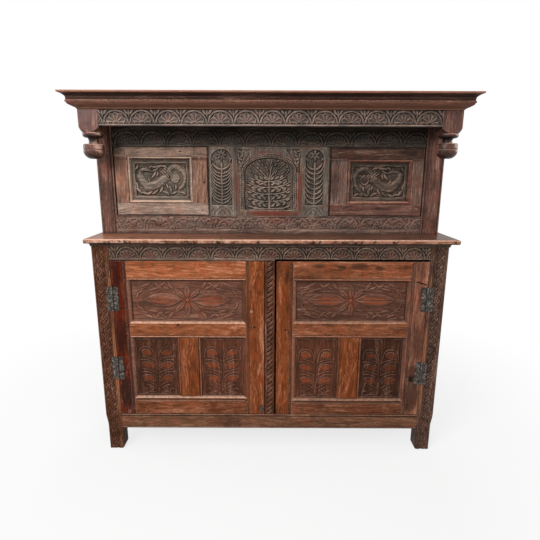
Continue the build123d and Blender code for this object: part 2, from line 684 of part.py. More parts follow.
def hinge_leaf(z, out, owned, bore):
    """One leaf of a surface hinge, with the knuckles whose numbers it owns.

    out is -1 for the leaf on the post and 1 for the leaf on the door.
    """
    near, far = HINGE_X + out * (BARREL_R + 1), HINGE_X + out * (BARREL_R + 1 + LEAF_W)
    foot, top = z - HINGE_H / 2, z + HINGE_H / 2
    outline = area((min(near, far), max(near, far)), (foot, top))
    for level in (z - HINGE_H / 6, z + HINGE_H / 6):
        outline -= Pos(far, level) * Circle(LEAF_LOBE)
    leaf = along_y(outline, (FRONT - LEAF_T, FRONT))
    for number, span in enumerate(split((foot, top), KNUCKLES)):
        if number in owned:
            length = (span[0] + KNUCKLE_GAP / 2, span[1] - KNUCKLE_GAP / 2)
            root = HINGE_X + out * 0.5
            bridge = block((min(near, root) - 0.01, max(near, root) + 0.01), (FRONT - LEAF_T, FRONT), length)
            leaf += bridge + rod(BARREL_R, HINGE_X, HINGE_Y, length)
    return leaf - rod(bore, HINGE_X, HINGE_Y, (foot, top))


def hinge_pin(z):
    """Pin with a small button head on top."""
    foot, top = z - HINGE_H / 2, z + HINGE_H / 2
    head = rod(BARREL_R - 0.8, HINGE_X, HINGE_Y, (top, top + 4))
    crown = [e for e in head.edges() if e.center().Z > top + 3]
    return rod(PIN_R, HINGE_X, HINGE_Y, (foot, top)) + fillet(crown, 2)


def turn_button():
    """Small iron button that hangs from its nail and turns over the muntin."""
    x, z = BUTTON_PIVOT
    eye = Pos(x, z) * Circle(BUTTON_R - 1)
    tail = Pos(x, z - BUTTON_REACH + 6) * Circle(6)
    outline = make_hull(eye.edges() + tail.edges())
    y = (FRONT - BUTTON_OFF - BUTTON_T, FRONT - BUTTON_OFF)
    bore = along_y(Pos(x, z) * Circle(NAIL_R + RUNNING), y)
    return along_y(outline, y) - bore


def turn_button_nail():
    """Rose-headed nail that the button turns on, driven into the lock stile."""
    x, z = BUTTON_PIVOT
    seat = FRONT - 2 * BUTTON_OFF - BUTTON_T
    shank = along_y(Pos(x, z) * Circle(NAIL_R), (seat, FRONT + DOOR_T - 6))
    plane = Plane(origin=(x, seat, z), x_dir=(1, 0, 0), z_dir=(0, -1, 0))
    rose = loft([(plane * Circle(4.6)).face(), (plane * Pos(0, 0, 3) * Circle(1.8)).face()])
    return shank + rose


# ---------------------------------------------------------------- the whole cupboard

def build():
    """All nodes, each a list of solids."""
    nodes = {}

    # canopy
    bearer = canopy_bearer()
    frieze = frieze_board()
    soffit = soffit_board()
    left_pendant = cut_round(corner_pendant(LEFT_PENDANT), bearer, frieze)
    right_pendant = mirrored(cut_round(corner_pendant(RIGHT_PENDANT), bearer, frieze))
    soffit = cut_round(soffit, left_pendant, right_pendant)
    front, left, right = cornice()
    nodes["cornice_front"] = [front]
    nodes["cornice_left"] = [left]
    nodes["cornice_right"] = [right]
    nodes["top_boards"] = top_boards()
    nodes["corner_pendant_left"] = [left_pendant]
    nodes["corner_pendant_right"] = [right_pendant]
    nodes["soffit_board"] = [soffit]
    nodes["frieze_board"] = [cut_round(frieze, soffit)]
    nodes["canopy_bearer_left"] = [cut_round(bearer, soffit)]
    nodes["canopy_bearer_right"] = [mirrored(cut_round(bearer, soffit))]

    # lower doors
    stiles, rails, muntin, wide, small = lower_door(*LEFT_LOWER)
    nail = turn_button_nail()
    nodes["lower_left_door_stiles"] = [stiles[0], cut_round(stiles[1], nail)]
    nodes["lower_left_door_rails"] = rails
    nodes["lower_left_door_muntin"] = [muntin]
    nodes["lower_left_door_wide_panel"] = [wide]
    nodes["lower_left_door_small_panels"] = small
    stiles, rails, muntin, wide, small = lower_door(*RIGHT_LOWER)
    nodes["lower_right_door_stiles"] = [mirrored(stile) for stile in stiles]
    nodes["lower_right_door_rails"] = [mirrored(rail) for rail in rails]
    nodes["lower_right_door_muntin"] = [mirrored(muntin)]
    nodes["lower_right_door_wide_panel"] = [mirrored(wide)]
    nodes["lower_right_door_small_panels"] = [mirrored(panel) for panel in small]
    nodes["turn_button"] = [turn_button()]
    nodes["turn_button_nail"] = [nail]

    # hinges of the lower doors
    nodes["hinge_pins"] = [hinge_pin(z) for z in LEFT_HINGES]
    nodes["hinge_pins"] += [mirrored(hinge_pin(z)) for z in RIGHT_HINGES]
    nodes["hinge_post_leaves"] = [hinge_leaf(z, -1, (0, 2, 4), PIN_R) for z in LEFT_HINGES]
    nodes["hinge_post_leaves"] += [mirrored(hinge_leaf(z, -1, (0, 2, 4), PIN_R)) for z in RIGHT_HINGES]
    bore = PIN_R + RUNNING
    nodes["lower_left_door_hinge_leaves"] = [hinge_leaf(z, 1, (1, 3), bore) for z in LEFT_HINGES]
    nodes["lower_right_door_hinge_leaves"] = [mirrored(hinge_leaf(z, 1, (1, 3), bore)) for z in RIGHT_HINGES]

    # upper doors
    pivots = []
    upper_doors = (
        ("upper_left_door", LEFT_DOOR, -1, LEFT_UPPER),
        ("upper_right_door", RIGHT_DOOR, 1, RIGHT_UPPER),
    )
    for name, x, hinge, widths in upper_doors:
        rails, stiles, panel, mould, pins = upper_door(x, hinge, *widths)
        nodes[name + "_rails"] = rails
        nodes[name + "_stiles"] = stiles
        nodes[name + "_panel"] = [panel] + mould
        pivots += pins
    nodes["upper_door_pivots"] = pivots

    # upper stage
    end_rails = upper_end_rails()
    end_panel = left_end_panel((UPPER + UPPER_STILE_D, REAR_FACE), (SILL_RAIL[1], END_HEAD_RAIL[0]))
    end_rails = [cut_round(rail, end_panel) for rail in end_rails]
    right_end_rails = [mirrored(rail) for rail in end_rails]
    right_end_panel = mirrored(end_panel)
    arcade = arcade_panel()
    spans = (LEFT_MUNTIN, RIGHT_MUNTIN)
    muntins = [cut_round(upper_muntin(x, margins), arcade) for x, margins in zip(spans, FIELD_MARGINS)]
    head = cut_round(upper_rail(HEAD_RAIL), arcade, soffit, *muntins, *pivots)
    sill = cut_round(upper_rail(SILL_RAIL), arcade, *muntins, *pivots)
    left_stile = upper_stile((-SIDE, UPPER_LEFT_IN), UPPER_LEFT_IN, LEFT)
    left_stile = cut_round(left_stile, bearer, soffit, head, sill, end_panel, *end_rails)
    right_stile = upper_stile((UPPER_RIGHT_IN, SIDE), UPPER_RIGHT_IN, RIGHT)
    right_stile = cut_round(right_stile, mirrored(bearer), soffit, head, sill)
    right_stile = cut_round(right_stile, right_end_panel, *right_end_rails)
    nodes["upper_stile_left"] = [left_stile]
    nodes["upper_stile_right"] = [right_stile]
    nodes["upper_head_rail"] = [head]
    nodes["upper_sill_rail"] = [sill]
    nodes["upper_muntin_left"] = [muntins[0]]
    nodes["upper_muntin_right"] = [muntins[1]]
    nodes["arcade_panel"] = [arcade]
    nodes["upper_end_rails_left"] = end_rails
    nodes["upper_end_rails_right"] = right_end_rails
    nodes["upper_end_panel_left"] = [end_panel]
    nodes["upper_end_panel_right"] = [right_end_panel]

    # lower stage
    end_bars, end_muntins, openings = end_frame()
    end_panels = [left_end_panel(y, z) for y, z in openings]
    end_muntins = [cut_round(muntin, *end_panels) for muntin in end_muntins]
    end_bars = [cut_round(rail, *end_muntins, *end_panels) for rail in end_bars]
    floor = floor_boards()
    rear = [cut_round(rail, *floor) for rail in rear_rails()]
    muntin = centre_muntin()
    lunette = cut_round(lunette_rail(), muntin)
    bottom = cut_round(bottom_rail(), muntin, *floor)
    post = cut_round(front_post(), lunette, bottom, *end_bars, *end_panels)
    rear_left = cut_round(rear_post(), *rear, *end_bars, *end_panels, *end_rails, end_panel, bearer)
    rear_right = mirrored(rear_left)
    floor = [cut_round(board, muntin, post, mirrored(post), rear_left, rear_right) for board in floor]
    uprights = (post, mirrored(post), rear_left, rear_right, left_stile, right_stile)
    shelf = [cut_round(board, *uprights) for board in shelf_boards()]
    nodes["front_post_left"] = [post]
    nodes["front_post_right"] = [mirrored(post)]
    nodes["rear_post_left"] = [rear_left]
    nodes["rear_post_right"] = [rear_right]
    nodes["lunette_rail"] = [lunette]
    nodes["lower_bottom_rail"] = [bottom]
    nodes["lower_muntin"] = [muntin]
    nodes["lower_end_frame_left"] = end_bars + end_muntins
    nodes["lower_end_frame_right"] = [mirrored(bar) for bar in end_bars + end_muntins]
    nodes["lower_end_panels_left"] = end_panels
    nodes["lower_end_panels_right"] = [mirrored(panel) for panel in end_panels]
    nodes["rear_rails"] = rear
    nodes["back_boards"] = back_boards()
    nodes["floor_boards"] = floor
    nodes["shelf_boards"] = shelf
    nodes["bed_mould"] = [bed_mould()]
    return nodes


os.makedirs("parts", exist_ok=True)
for node, pieces in build().items():
    solids = [solid for piece in pieces for solid in piece.solids()]
    shape = solids[0] if len(solids) == 1 else Compound(children=solids)
    export_step(shape, "parts/" + node + ".step")
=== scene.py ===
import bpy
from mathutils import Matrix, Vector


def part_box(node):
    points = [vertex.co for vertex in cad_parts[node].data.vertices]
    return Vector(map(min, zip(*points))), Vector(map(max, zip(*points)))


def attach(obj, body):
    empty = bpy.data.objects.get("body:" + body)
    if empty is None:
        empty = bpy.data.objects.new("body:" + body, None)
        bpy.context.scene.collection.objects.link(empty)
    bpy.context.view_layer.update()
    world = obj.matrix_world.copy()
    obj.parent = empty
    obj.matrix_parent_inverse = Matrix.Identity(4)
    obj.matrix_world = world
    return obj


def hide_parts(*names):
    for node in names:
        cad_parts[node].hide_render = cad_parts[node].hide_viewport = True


bl_info = {
    "name": "Court cupboard",
    "version": (1, 0, 0),
    "blender": (4, 5, 0),
    "location": "3D View > Sidebar > Cupboard",
    "description": "Carves, finishes, furnishes and lights a joined oak court cupboard",
    "category": "Object",
}

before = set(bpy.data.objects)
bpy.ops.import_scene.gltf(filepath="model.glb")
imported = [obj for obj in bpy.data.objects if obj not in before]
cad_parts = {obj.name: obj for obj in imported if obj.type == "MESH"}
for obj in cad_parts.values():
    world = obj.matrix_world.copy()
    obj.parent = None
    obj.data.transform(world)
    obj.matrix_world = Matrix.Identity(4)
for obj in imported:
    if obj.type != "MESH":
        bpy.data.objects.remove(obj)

import copy
import math

import bmesh
import bpy
import numpy as np
from mathutils import Matrix, Vector

# Carving is drawn in millimetres on the face of each board: u runs across it and v up
# it from its lower left corner, and heights are 0 at the face and negative in the wood.
# Everything that becomes an object is in metres, in the frame's own axes.

MM = 0.001
X, Y, Z = 0, 1, 2
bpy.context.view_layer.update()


def colour(red, green, blue):
    """A display colour, 0 to 255 a channel, as the linear colour that a shader takes."""
    def linear(value):
        value /= 255
        return value / 12.92 if value <= 0.04045 else ((value + 0.055) / 1.055) ** 2.4
    return (linear(red), linear(green), linear(blue), 1.0)


def shaded(tint, share):
    """The same colour, lighter or darker by a factor."""
    return (*(min(1.0, channel * share) for channel in tint[:3]), 1.0)


def between(low, high, share):
    """A colour part of the way from one to another."""
    return (*(a + (b - a) * share for a, b in zip(low[:3], high[:3])), 1.0)


# ------------ settings

def tint(label, text, *channels):
    """A colour, its default as display channels from 0 to 255."""
    return bpy.props.FloatVectorProperty(
        name=label, description=text, subtype="COLOR", size=4, min=0, max=1, default=colour(*channels))


def length(label, text, value):
    return bpy.props.FloatProperty(
        name=label, description=text, subtype="DISTANCE", unit="LENGTH", default=value)


def lean(label, text, degrees):
    return bpy.props.FloatProperty(
        name=label, description=text, subtype="ANGLE", default=math.radians(degrees))


def lamp_power(label, text, watts):
    return bpy.props.FloatProperty(name=label, description=text, unit="POWER", default=watts)


class CupboardCarving(bpy.types.PropertyGroup):
    grid: length("Carving grid", "Spacing of the points of a carved face", 0.0016)
    fine_grid: length("Fine grid", "Spacing of the points on the small panels of the upper stage", 0.0011)
    ground: length("Ground depth", "How far the ground of the carving is sunk", 0.0042)
    unevenness: length("Unevenness", "How far hand work wanders from the drawn line", 0.0015)
    frieze_pitch: length("Frieze pitch", "Width of one lunette of the frieze", 0.1096)
    head_pitch: length("Head rail pitch", "Width of one lunette of the upper head rail", 0.120)
    rail_pitch: length("Lower rail pitch", "Width of one lunette of the rail under the shelf", 0.1073)
    sill_pitch: length("Sill pitch", "Width of one scroll of the sill rail", 0.112)
    post_pitch: length("Post pitch", "Height of one turn of the running leaf on the posts", 0.042)


class CupboardFinishes(bpy.types.PropertyGroup):
    left_post: tint("Left post", "Waxed oak of the left front post", 80, 43, 23)
    post_edge: tint("Post edge", "Tan wood down the inner edges of the posts", 158, 100, 66)
    right_post: tint("Right post", "Waxed oak of the right front post", 77, 53, 43)
    lower_carcase: tint("Lower carcase", "Waxed oak of the lower rail and the ends", 95, 77, 67)
    centre_muntin: tint("Centre muntin", "Oak of the carved upright between the doors", 87, 46, 25)
    bottom_rail: tint("Bottom rail", "Oak of the beaded bottom rail", 108, 72, 52)
    upper_carcase: tint("Upper carcase", "Waxed oak of the upper stage", 109, 77, 67)
    sill: tint("Sill rail", "Worn, reddish oak of the carved sill rail", 108, 86, 77)
    lower_left_door: tint("Left door frame", "Warm, handled oak of the lower left door", 142, 82, 51)
    lower_right_door: tint("Right door frame", "Browner oak of the lower right door", 126, 74, 48)
    lock_stile: tint("Lock stiles", "Oak of the stiles that are handled", 118, 61, 30)
    left_hinge_stile: tint("Left hinge stile", "Dark red oak of the left hinge stile", 86, 30, 12)
    right_hinge_stile: tint("Right hinge stile", "Pinkish oak of the right hinge stile", 134, 86, 67)
    wide_panel: tint("Wide panels", "Raised leaves on the wide lower panels", 116, 75, 59)
    small_panel: tint("Small panels", "Red lobes on the small lower panels", 94, 51, 31)
    panel_ground: tint("Panel ground", "Old wax on the sunk ground of the lower panels", 72, 50, 41)
    upper_left_door: tint("Upper left door", "Paler, greyer oak of the left upper door", 134, 104, 90)
    upper_right_door: tint("Upper right door", "Darker oak of the right upper door", 92, 66, 57)
    left_strips: tint("Left strips", "Pale oak of the strips round the left beast", 168, 142, 124)
    right_strips: tint("Right strips", "Reddish oak of the strips round the right beast", 112, 70, 58)
    left_beast: tint("Left beast panel", "Greyish oak of the left beast", 110, 99, 89)
    right_beast: tint("Right beast panel", "Darker oak of the right beast", 78, 66, 58)
    arcade: tint("Arcade", "Oak of the arcade and of the muntins beside it", 97, 88, 80)
    worn_red: tint("Worn red", "Reddish wood where the wax is rubbed off the arcade", 104, 50, 37)
    frieze: tint("Frieze", "Dry, greyish oak of the frieze", 101, 89, 83)
    frieze_red: tint("Frieze shells", "Pinkish wood of the shells of the frieze", 126, 98, 88)
    # dark from soot, and darkened further as painted shade under the canopy
    head_rail: tint("Head rail", "Sooty oak of the rail under the canopy", 74, 68, 61)
    pendant: tint("Pendants", "Polished oak of the turned pendants", 98, 61, 51)
    cornice: tint("Cornice", "Dark waxed oak of the cornice", 85, 51, 40)
    cornice_foot: tint("Cornice foot", "Red wood of the low member of the cornice", 158, 108, 86)
    shelf: tint("Shelf", "Oiled top of the shelf", 136, 92, 72)
    # bare wood and painted highlight along the nose of the shelf
    nose_wear_and_highlight: tint("Pale nose", "Bare wood along the front of the shelf", 200, 156, 132)
    plain: tint("Plain oak", "Unpolished oak inside and behind", 86, 64, 48)
    # also the tone of the painted shade under edges, in occluded corners and in the painted shadows
    old_wax_and_shade: tint("Old wax", "Dirt and wax left in hollows", 26, 20, 17)
    # also the tone of the painted highlights on slopes that face up
    bare_edge_and_highlight: tint("Bare edge", "Wood rubbed bare along the arrises", 222, 184, 160)
    lobe_red: tint("Lobe red", "Red wood of the lobes on the lower panels", 134, 66, 40)
    iron: tint("Iron", "Wrought iron under wax", 52, 44, 38)
    iron_bright: tint("Bright iron", "Iron rubbed bright on its high spots", 156, 152, 146)


class CupboardStudio(bpy.types.PropertyGroup):
    stand_off: length("Stand off", "Camera from the lower front", 1.901)
    eye: length("Eye height", "Camera above the floor", 1.358)
    tilt: lean("Tilt", "Camera below the level", 13.03)
    roll: lean("Roll", "How far the picture leans clockwise", 0.22)
    lens: bpy.props.FloatProperty(
        name="Lens", description="Focal length", subtype="DISTANCE_CAMERA", unit="CAMERA", default=28.8)
    key: lamp_power("Key lamp", "Soft lamp, front left", 104)
    top: lamp_power("Top lamp", "Soft lamp overhead", 36)
    side: lamp_power("Side lamp", "Weak soft lamp, front right", 14)
    back: lamp_power("Back lamp", "Soft lamp behind", 64)
    ends: lamp_power("End lamps", "Soft lamps beside the ends", 26)
    room: bpy.props.FloatProperty(
        name="Room light", description="Strength of the even light of the room", min=0, max=1, default=0.20)
    floor: tint("Floor", "Pale seamless floor", 214, 214, 214)


def tone_of(name):
    """A colour of the finishes."""
    return tuple(getattr(bpy.context.scene.cupboard_finishes, name))


# ------------ shaders

class Strength:
    """A number that varies over a surface, so that shader maths reads as sums."""

    def __init__(self, finish, output):
        self.finish = finish
        self.output = output

    def sum(self, operation, first, second):
        return self.finish.node("ShaderNodeMath", {"operation": operation}, {0: first, 1: second})

    def __add__(self, other):
        return self.sum("ADD", self, other)

    def __radd__(self, other):
        return self.sum("ADD", other, self)

    def __sub__(self, other):
        return self.sum("SUBTRACT", self, other)

    def __rsub__(self, other):
        return self.sum("SUBTRACT", other, self)

    def __mul__(self, other):
        return self.sum("MULTIPLY", self, other)

    def __rmul__(self, other):
        return self.sum("MULTIPLY", other, self)

    def over(self, low, high):
        """0 below low and 1 above high, with a soft step between."""
        return self.finish.node("ShaderNodeMapRange", {"interpolation_type": "SMOOTHSTEP"},
                                {"Value": self, "From Min": low, "From Max": high})

    def under(self, low, high):
        """1 below low and 0 above high."""
        return 1.0 - self.over(low, high)


class Finish:
    """The nodes that make one material, or the world."""

    def __init__(self, owner):
        owner.use_nodes = True
        self.owner = owner
        self.tree = owner.node_tree
        self.tree.nodes.clear()

    def node(self, kind, settings=None, sockets=None, output=0):
        made = self.tree.nodes.new(kind)
        for name, value in (settings or {}).items():
            if name == "stops":
                self.set_stops(made.color_ramp, value)
            else:
                setattr(made, name, value)
        for key, value in (sockets or {}).items():
            if isinstance(value, Strength):
                self.tree.links.new(value.output, made.inputs[key])
            else:
                made.inputs[key].default_value = value
        return None if output is None else Strength(self, made.outputs[output])

    @staticmethod
    def set_stops(ramp, stops):
        while len(ramp.elements) < len(stops):
            ramp.elements.new(0.5)
        for element, (position, value) in zip(ramp.elements, stops):
            element.position = position
            element.color = value

    def vector(self, operation, *values, output=0):
        return self.node("ShaderNodeVectorMath", {"operation": operation}, dict(enumerate(values)), output)

    def part(self, vector, axis):
        """One coordinate of a place or a direction."""
        return self.node("ShaderNodeSeparateXYZ", {}, {0: vector}, axis)

    def noise(self, vector, scale, detail=3.0, roughness=0.55, output=0):
        return self.node("ShaderNodeTexNoise", {},
                         {"Vector": vector, "Scale": scale, "Detail": detail, "Roughness": roughness}, output)

    def blend(self, amount, under, over):
        """Lay one colour over another."""
        return self.node("ShaderNodeMix", {"data_type": "RGBA"}, {0: amount, 6: under, 7: over}, output=2)

    def place(self):
        """Where a point is on the object, in metres."""
        return self.node("ShaderNodeTexCoord", output=3)

    def close(self, surface, output="ShaderNodeOutputMaterial"):
        """Join a surface to the output."""
        self.node(output, {}, {"Surface": surface}, None)
        return self.owner


GRAIN = {"x": (0.07, 1.0, 1.0), "y": (1.0, 0.07, 1.0), "z": (1.0, 1.0, 0.07)}
WAX = {"Coat Weight": 0.02, "Coat Roughness": 0.2, "Specular IOR Level": 0.06}
made_finishes = {}


def spots(places):
    """Marks of given size: centre, half width and half height in millimetres on the face, and strength."""
    def laid(wood, place):
        ragged = wood.noise(place, 60.0, 4.0, 0.7) * 0.9
        total = None
        for x, z, wide, high, strength in places:
            scaled = wood.vector("MULTIPLY", place, (1000 / wide, 0.0, 1000 / high))
            away = wood.vector("DISTANCE", scaled, (x / wide, 0.0, z / high), output=1)
            spot = (1.0 - (away + ragged).over(1.0, 1.65)) * strength
            total = spot if total is None else total + spot
        return total
    return laid


def figured(wood, place, grain, body):
    """The colour of the bare wood: bands and streaks along the grain, patches and drifts of hue.

    It gives the tone with its streaks, hairs and open pores.
    """
    drift = wood.noise(place, 2.6, 2.0, output=1)
    centred = wood.vector("SUBTRACT", drift, (0.5, 0.5, 0.5))
    bent = wood.vector("MULTIPLY_ADD", centred, (0.09, 0.09, 0.09), place)
    grained = wood.vector("MULTIPLY", bent, GRAIN[grain])

    bands = wood.noise(grained, 36.0, 3.0)
    streaks = wood.noise(grained, 150.0, 5.0, 0.75)
    hairs = wood.noise(grained, 620.0, 3.0, 0.6)
    patches = wood.noise(place, 7.5, 6.0, 0.68)
    hue = wood.noise(place, 17.0, 5.0, 0.7)
    drawn_out = wood.vector("MULTIPLY", place, [0.06 if axis == grain else 1.0 for axis in "xyz"])
    pores = wood.noise(drawn_out, 1500.0, 2.0)

    depth_of_tone = bands * 0.28 + streaks * 0.50 + hairs * 0.22
    middle, spread = 0.5, 0.105
    tone = wood.node("ShaderNodeValToRGB", {"stops": [
        (middle - spread, shaded(body, 0.26)),
        (middle - spread * 0.3, shaded(body, 0.78)),
        (middle + spread * 0.3, shaded(body, 1.18)),
        (middle + spread, shaded(between(body, tone_of("bare_edge_and_highlight"), 0.14), 1.65)),
    ]}, {0: depth_of_tone})
    redder = (body[0] * 1.22, body[1] * 0.78, body[2] * 0.64, 1.0)
    greyer = (body[0] * 0.74, body[1] * 0.92, body[2] * 0.94, 1.0)
    tone = wood.blend(hue.over(0.50, 0.66) * 0.60, tone, redder)
    tone = wood.blend((1.0 - hue).over(0.52, 0.68) * 0.55, tone, greyer)
    tone = wood.blend(patches.over(0.52, 0.68) * 0.62, tone, shaded(body, 0.30))
    tone = wood.blend((1.0 - patches).over(0.54, 0.70) * 0.48, tone, shaded(body, 1.75))
    return tone, streaks, hairs, pores.over(0.58, 0.70) * 0.50


def worn_carving(wood, tone, body, wax, slope, rub, handled, wear, dirt):
    """Wax in the hollows and bare wood on the ridges; painted shade on what faces down and a painted
    highlight on what faces up.
    """
    hollow = wood.node("ShaderNodeAttribute", {"attribute_name": "hollow"}, output=2)
    ridge = wood.node("ShaderNodeAttribute", {"attribute_name": "ridge"}, output=2)
    raised = ridge * (rub * 0.70 + 0.30) * (handled * 0.6 + 0.4)
    # painted highlight on slopes that face up, painted shade on slopes that face down
    painted_highlight = slope.over(0.06, 0.50) * (rub * 0.6 + 0.4)
    painted_shade = (0.0 - slope).over(0.06, 0.50)
    tone = wood.blend(hollow * (0.86 * dirt), tone, wax)
    tone = wood.blend(painted_shade * (0.60 * dirt), tone, wax)
    tone = wood.blend(raised * (0.60 * wear), tone, between(shaded(body, 1.8), tone_of("bare_edge_and_highlight"), 0.26))
    tone = wood.blend(painted_highlight * (handled * 0.34 + 0.12) * wear, tone,
                      between(shaded(body, 2.0), tone_of("bare_edge_and_highlight"), 0.60))
    return tone, hollow, raised


def worn_timber(wood, tone, body, wax, place, aside, level, slope, rub, wear, dirt, ledge, face):
    """Old wax and painted shade in the occluded corners, painted shade under the edges, bare wood along the
    arrises and a painted highlight on the ledges.

    It gives the tone with the corners, the rubbed edges and the softened shape.
    """
    soft = wood.node("ShaderNodeBevel", {"samples": 4}, {"Radius": 0.0035})
    facing = wood.node("ShaderNodeNewGeometry", output=1)
    turned = wood.vector("DOT_PRODUCT", soft, facing, output=1)
    openness = wood.node("ShaderNodeAmbientOcclusion", {"samples": 4}, {"Distance": 0.020}, output=1)
    # old wax and painted shade where the wood is occluded
    corners = (1.0 - openness).over(0.26, 0.72)
    raised = (1.0 - turned).over(0.012, 0.20) * openness.over(0.50, 0.82) * (rub * 0.8 + 0.2)
    # painted highlight on slopes that face up, painted shade under the edges
    sloping = level.under(0.80, 0.97) * aside.under(0.86, 0.98)
    above = slope.over(0.14, 0.42) * sloping * (rub * 0.55 + 0.45)
    below = (0.0 - slope).over(0.14, 0.42) * (1.0 - (0.0 - aside).over(0.86, 0.98))
    if face is not None:
        behind = wood.part(place, Y) - face * MM
        tone = wood.blend(behind.over(0.001, 0.004) * 0.40, tone, colour(70, 54, 45))
        above = above * (1.0 - behind.over(0.002, 0.007) * 0.80)
    tone = wood.blend(below * min(0.94, 0.86 * ledge), tone, wax)
    tone = wood.blend(above * (0.92 * ledge), tone, between(shaded(body, 1.9), tone_of("bare_edge_and_highlight"), 0.78))
    tone = wood.blend(corners * (0.88 * dirt), tone, wax)
    tone = wood.blend(raised * (0.66 * wear), tone, between(shaded(body, 1.9), tone_of("bare_edge_and_highlight"), 0.45))
    return tone, corners, raised, soft


def oak(name, grain, body, carved=False, gloss=0.42, wear=1.0, dirt=1.0, ledge=0.5, wax=None,
        marks=None, rubbed=None, red=None, face=None, shine=1.0):
    """Old oak with its grain along one axis.

    carved wood reads its hollows and ridges from the mesh; plain wood finds its arrises
    and corners from the shape, and its occluded corners get old wax and painted shade.
    Slopes that face up get a painted highlight and those that face down a painted shade,
    on plain wood as strong as the painted slope light. wax is the tone of the hollows and of
    the painted shade, marks(wood, place) returns a mask of dark stains and painted shade, and
    rubbed(wood, place) one of the places where another wood colour or a painted highlight
    shows, worn red unless red is given. face is the level of a frame's face in millimetres:
    what lies behind it stays grey, and only its edge gets the painted highlight. shine
    multiplies the gloss of the wax.
    """
    key = f"{name}_{grain}"
    if key in made_finishes:
        return made_finishes[key]
    wax = wax or tone_of("old_wax_and_shade")
    wood = Finish(bpy.data.materials.new(key))
    place = wood.place()
    tone, streaks, hairs, open_pores = figured(wood, place, grain, body)
    tone = wood.blend(open_pores, tone, wax)
    own = wood.node("ShaderNodeTexCoord", output=1)
    not_behind = 1.0 - wood.part(own, Y).over(0.2, 0.6)
    if rubbed:
        spread = rubbed(wood, place) * (streaks * 1.6 - 0.1)
        tone = wood.blend(spread * not_behind if carved else spread, tone, red or tone_of("worn_red"))
    if marks:
        tone = wood.blend(marks(wood, place), tone, shaded(tone_of("old_wax_and_shade"), 1.2))

    aside = wood.part(own, X)
    level = wood.part(own, Z)
    # how far a face turns up, and to the left on carving or to the right on plain wood: it places the painted
    # highlight and the painted shade
    slope = level * 0.8 + aside * (-0.35 if carved else 0.6)
    rub = wood.noise(place, 70.0, 4.0, 0.75).over(0.38, 0.62)
    handled = wood.noise(place, 17.0, 3.0, 0.6).over(0.38, 0.62)
    bump = {"Strength": 0.42, "Distance": 0.0012}
    if carved:
        tone, corners, raised = worn_carving(wood, tone, body, wax, slope, rub, handled, wear, dirt)
    else:
        tone, corners, raised, bump["Normal"] = worn_timber(
            wood, tone, body, wax, place, aside, level, slope, rub, wear, dirt, ledge, face)

    dents = wood.noise(place, 42.0, 3.0)
    bump["Height"] = streaks * 0.5 + hairs * 0.25 - open_pores * 0.6 + dents * 0.9
    normal = wood.node("ShaderNodeBump", {}, bump)
    roughness = gloss + hairs * 0.16 + corners * 0.26 - raised * 0.08
    made_finishes[key] = wood.close(wood.node("ShaderNodeBsdfPrincipled", {}, {
        **WAX, "Specular IOR Level": WAX["Specular IOR Level"] * shine,
        "Base Color": tone, "Roughness": roughness, "Normal": normal}))
    return made_finishes[key]


def wrought_iron():
    """Hammered iron, grey under wax, rubbed bright in specks and rusty in the low spots."""
    metal = Finish(bpy.data.materials.new("wrought_iron"))
    place = metal.place()
    hammered = metal.noise(place, 95.0, 3.0, 0.6)
    pitted = metal.noise(place, 380.0, 4.0, 0.7)
    rust = metal.noise(place, 46.0, 5.0, 0.65).over(0.50, 0.62)
    bright = (hammered * 0.5 + pitted * 0.5).over(0.52, 0.62)
    iron = metal.blend(bright * 0.8, tone_of("iron"), tone_of("iron_bright"))
    iron = metal.blend((1.0 - hammered).over(0.52, 0.66) * 0.7, iron, shaded(tone_of("iron"), 0.25))
    iron = metal.blend(rust * 0.5, iron, colour(72, 50, 38))
    normal = metal.node("ShaderNodeBump", {}, {"Strength": 0.7, "Distance": 0.0016,
                                               "Height": hammered * 1.2 + pitted * 0.4})
    return metal.close(metal.node("ShaderNodeBsdfPrincipled", {}, {
        "Specular IOR Level": 0.4, "Base Color": iron, "Roughness": 0.50 + rust * 0.30 - bright * 0.12,
        "Normal": normal, "Metallic": 0.35 - rust * 0.25}))


# ------------ drawing on a board

def ease(x):
    """0 up to x = 0 and 1 from x = 1, with a soft step between."""
    x = np.clip(x, 0.0, 1.0)
    return x * x * (3 - 2 * x)


def disc(u, v, at, radius):
    """Distance outside a disc, negative inside, as for every shape below."""
    return np.hypot(u - at[0], v - at[1]) - radius


def slab(u, v, low, high):
    """Distance outside an upright rectangle between two corners."""
    aside = np.maximum(low[0] - u, u - high[0])
    above = np.maximum(low[1] - v, v - high[1])
    return np.maximum(aside, above)


def laid_along(u, v, at, long, turn, bend):
    """Distances along and across a leaf from its middle, the leaf turned in degrees and bent."""
    angle = math.radians(turn)
    along = (u - at[0]) * math.cos(angle) + (v - at[1]) * math.sin(angle)
    across = (v - at[1]) * math.cos(angle) - (u - at[0]) * math.sin(angle)
    return along, across - bend * (2 * along / long) ** 2


def leaf(u, v, at, long, wide, turn, bend=0.0):
    """Distance outside a pointed leaf."""
    along, across = laid_along(u, v, at, long, turn, bend)
    half, side = long / 2, wide / 2
    radius = (half ** 2 + side ** 2) / (2 * side)
    return np.hypot(along, np.abs(across) + radius - side) - radius


def leaves(u, v, places, bend=0.0):
    """Distance outside a group of leaves, each with its middle, length, width and turn."""
    return np.minimum.reduce([leaf(u, v, *place, bend) for place in places])


def rib(u, v, at, long, turn, bend=0.0):
    """Distance from the middle line of a leaf, for its vein."""
    along, across = laid_along(u, v, at, long, turn, bend)
    return np.abs(across) + np.maximum(0, np.abs(along) - long * 0.46)


def about(centre, radius, degrees):
    """A point at a distance from a centre."""
    angle = math.radians(degrees)
    return centre[0] + radius * math.cos(angle), centre[1] + radius * math.sin(angle)


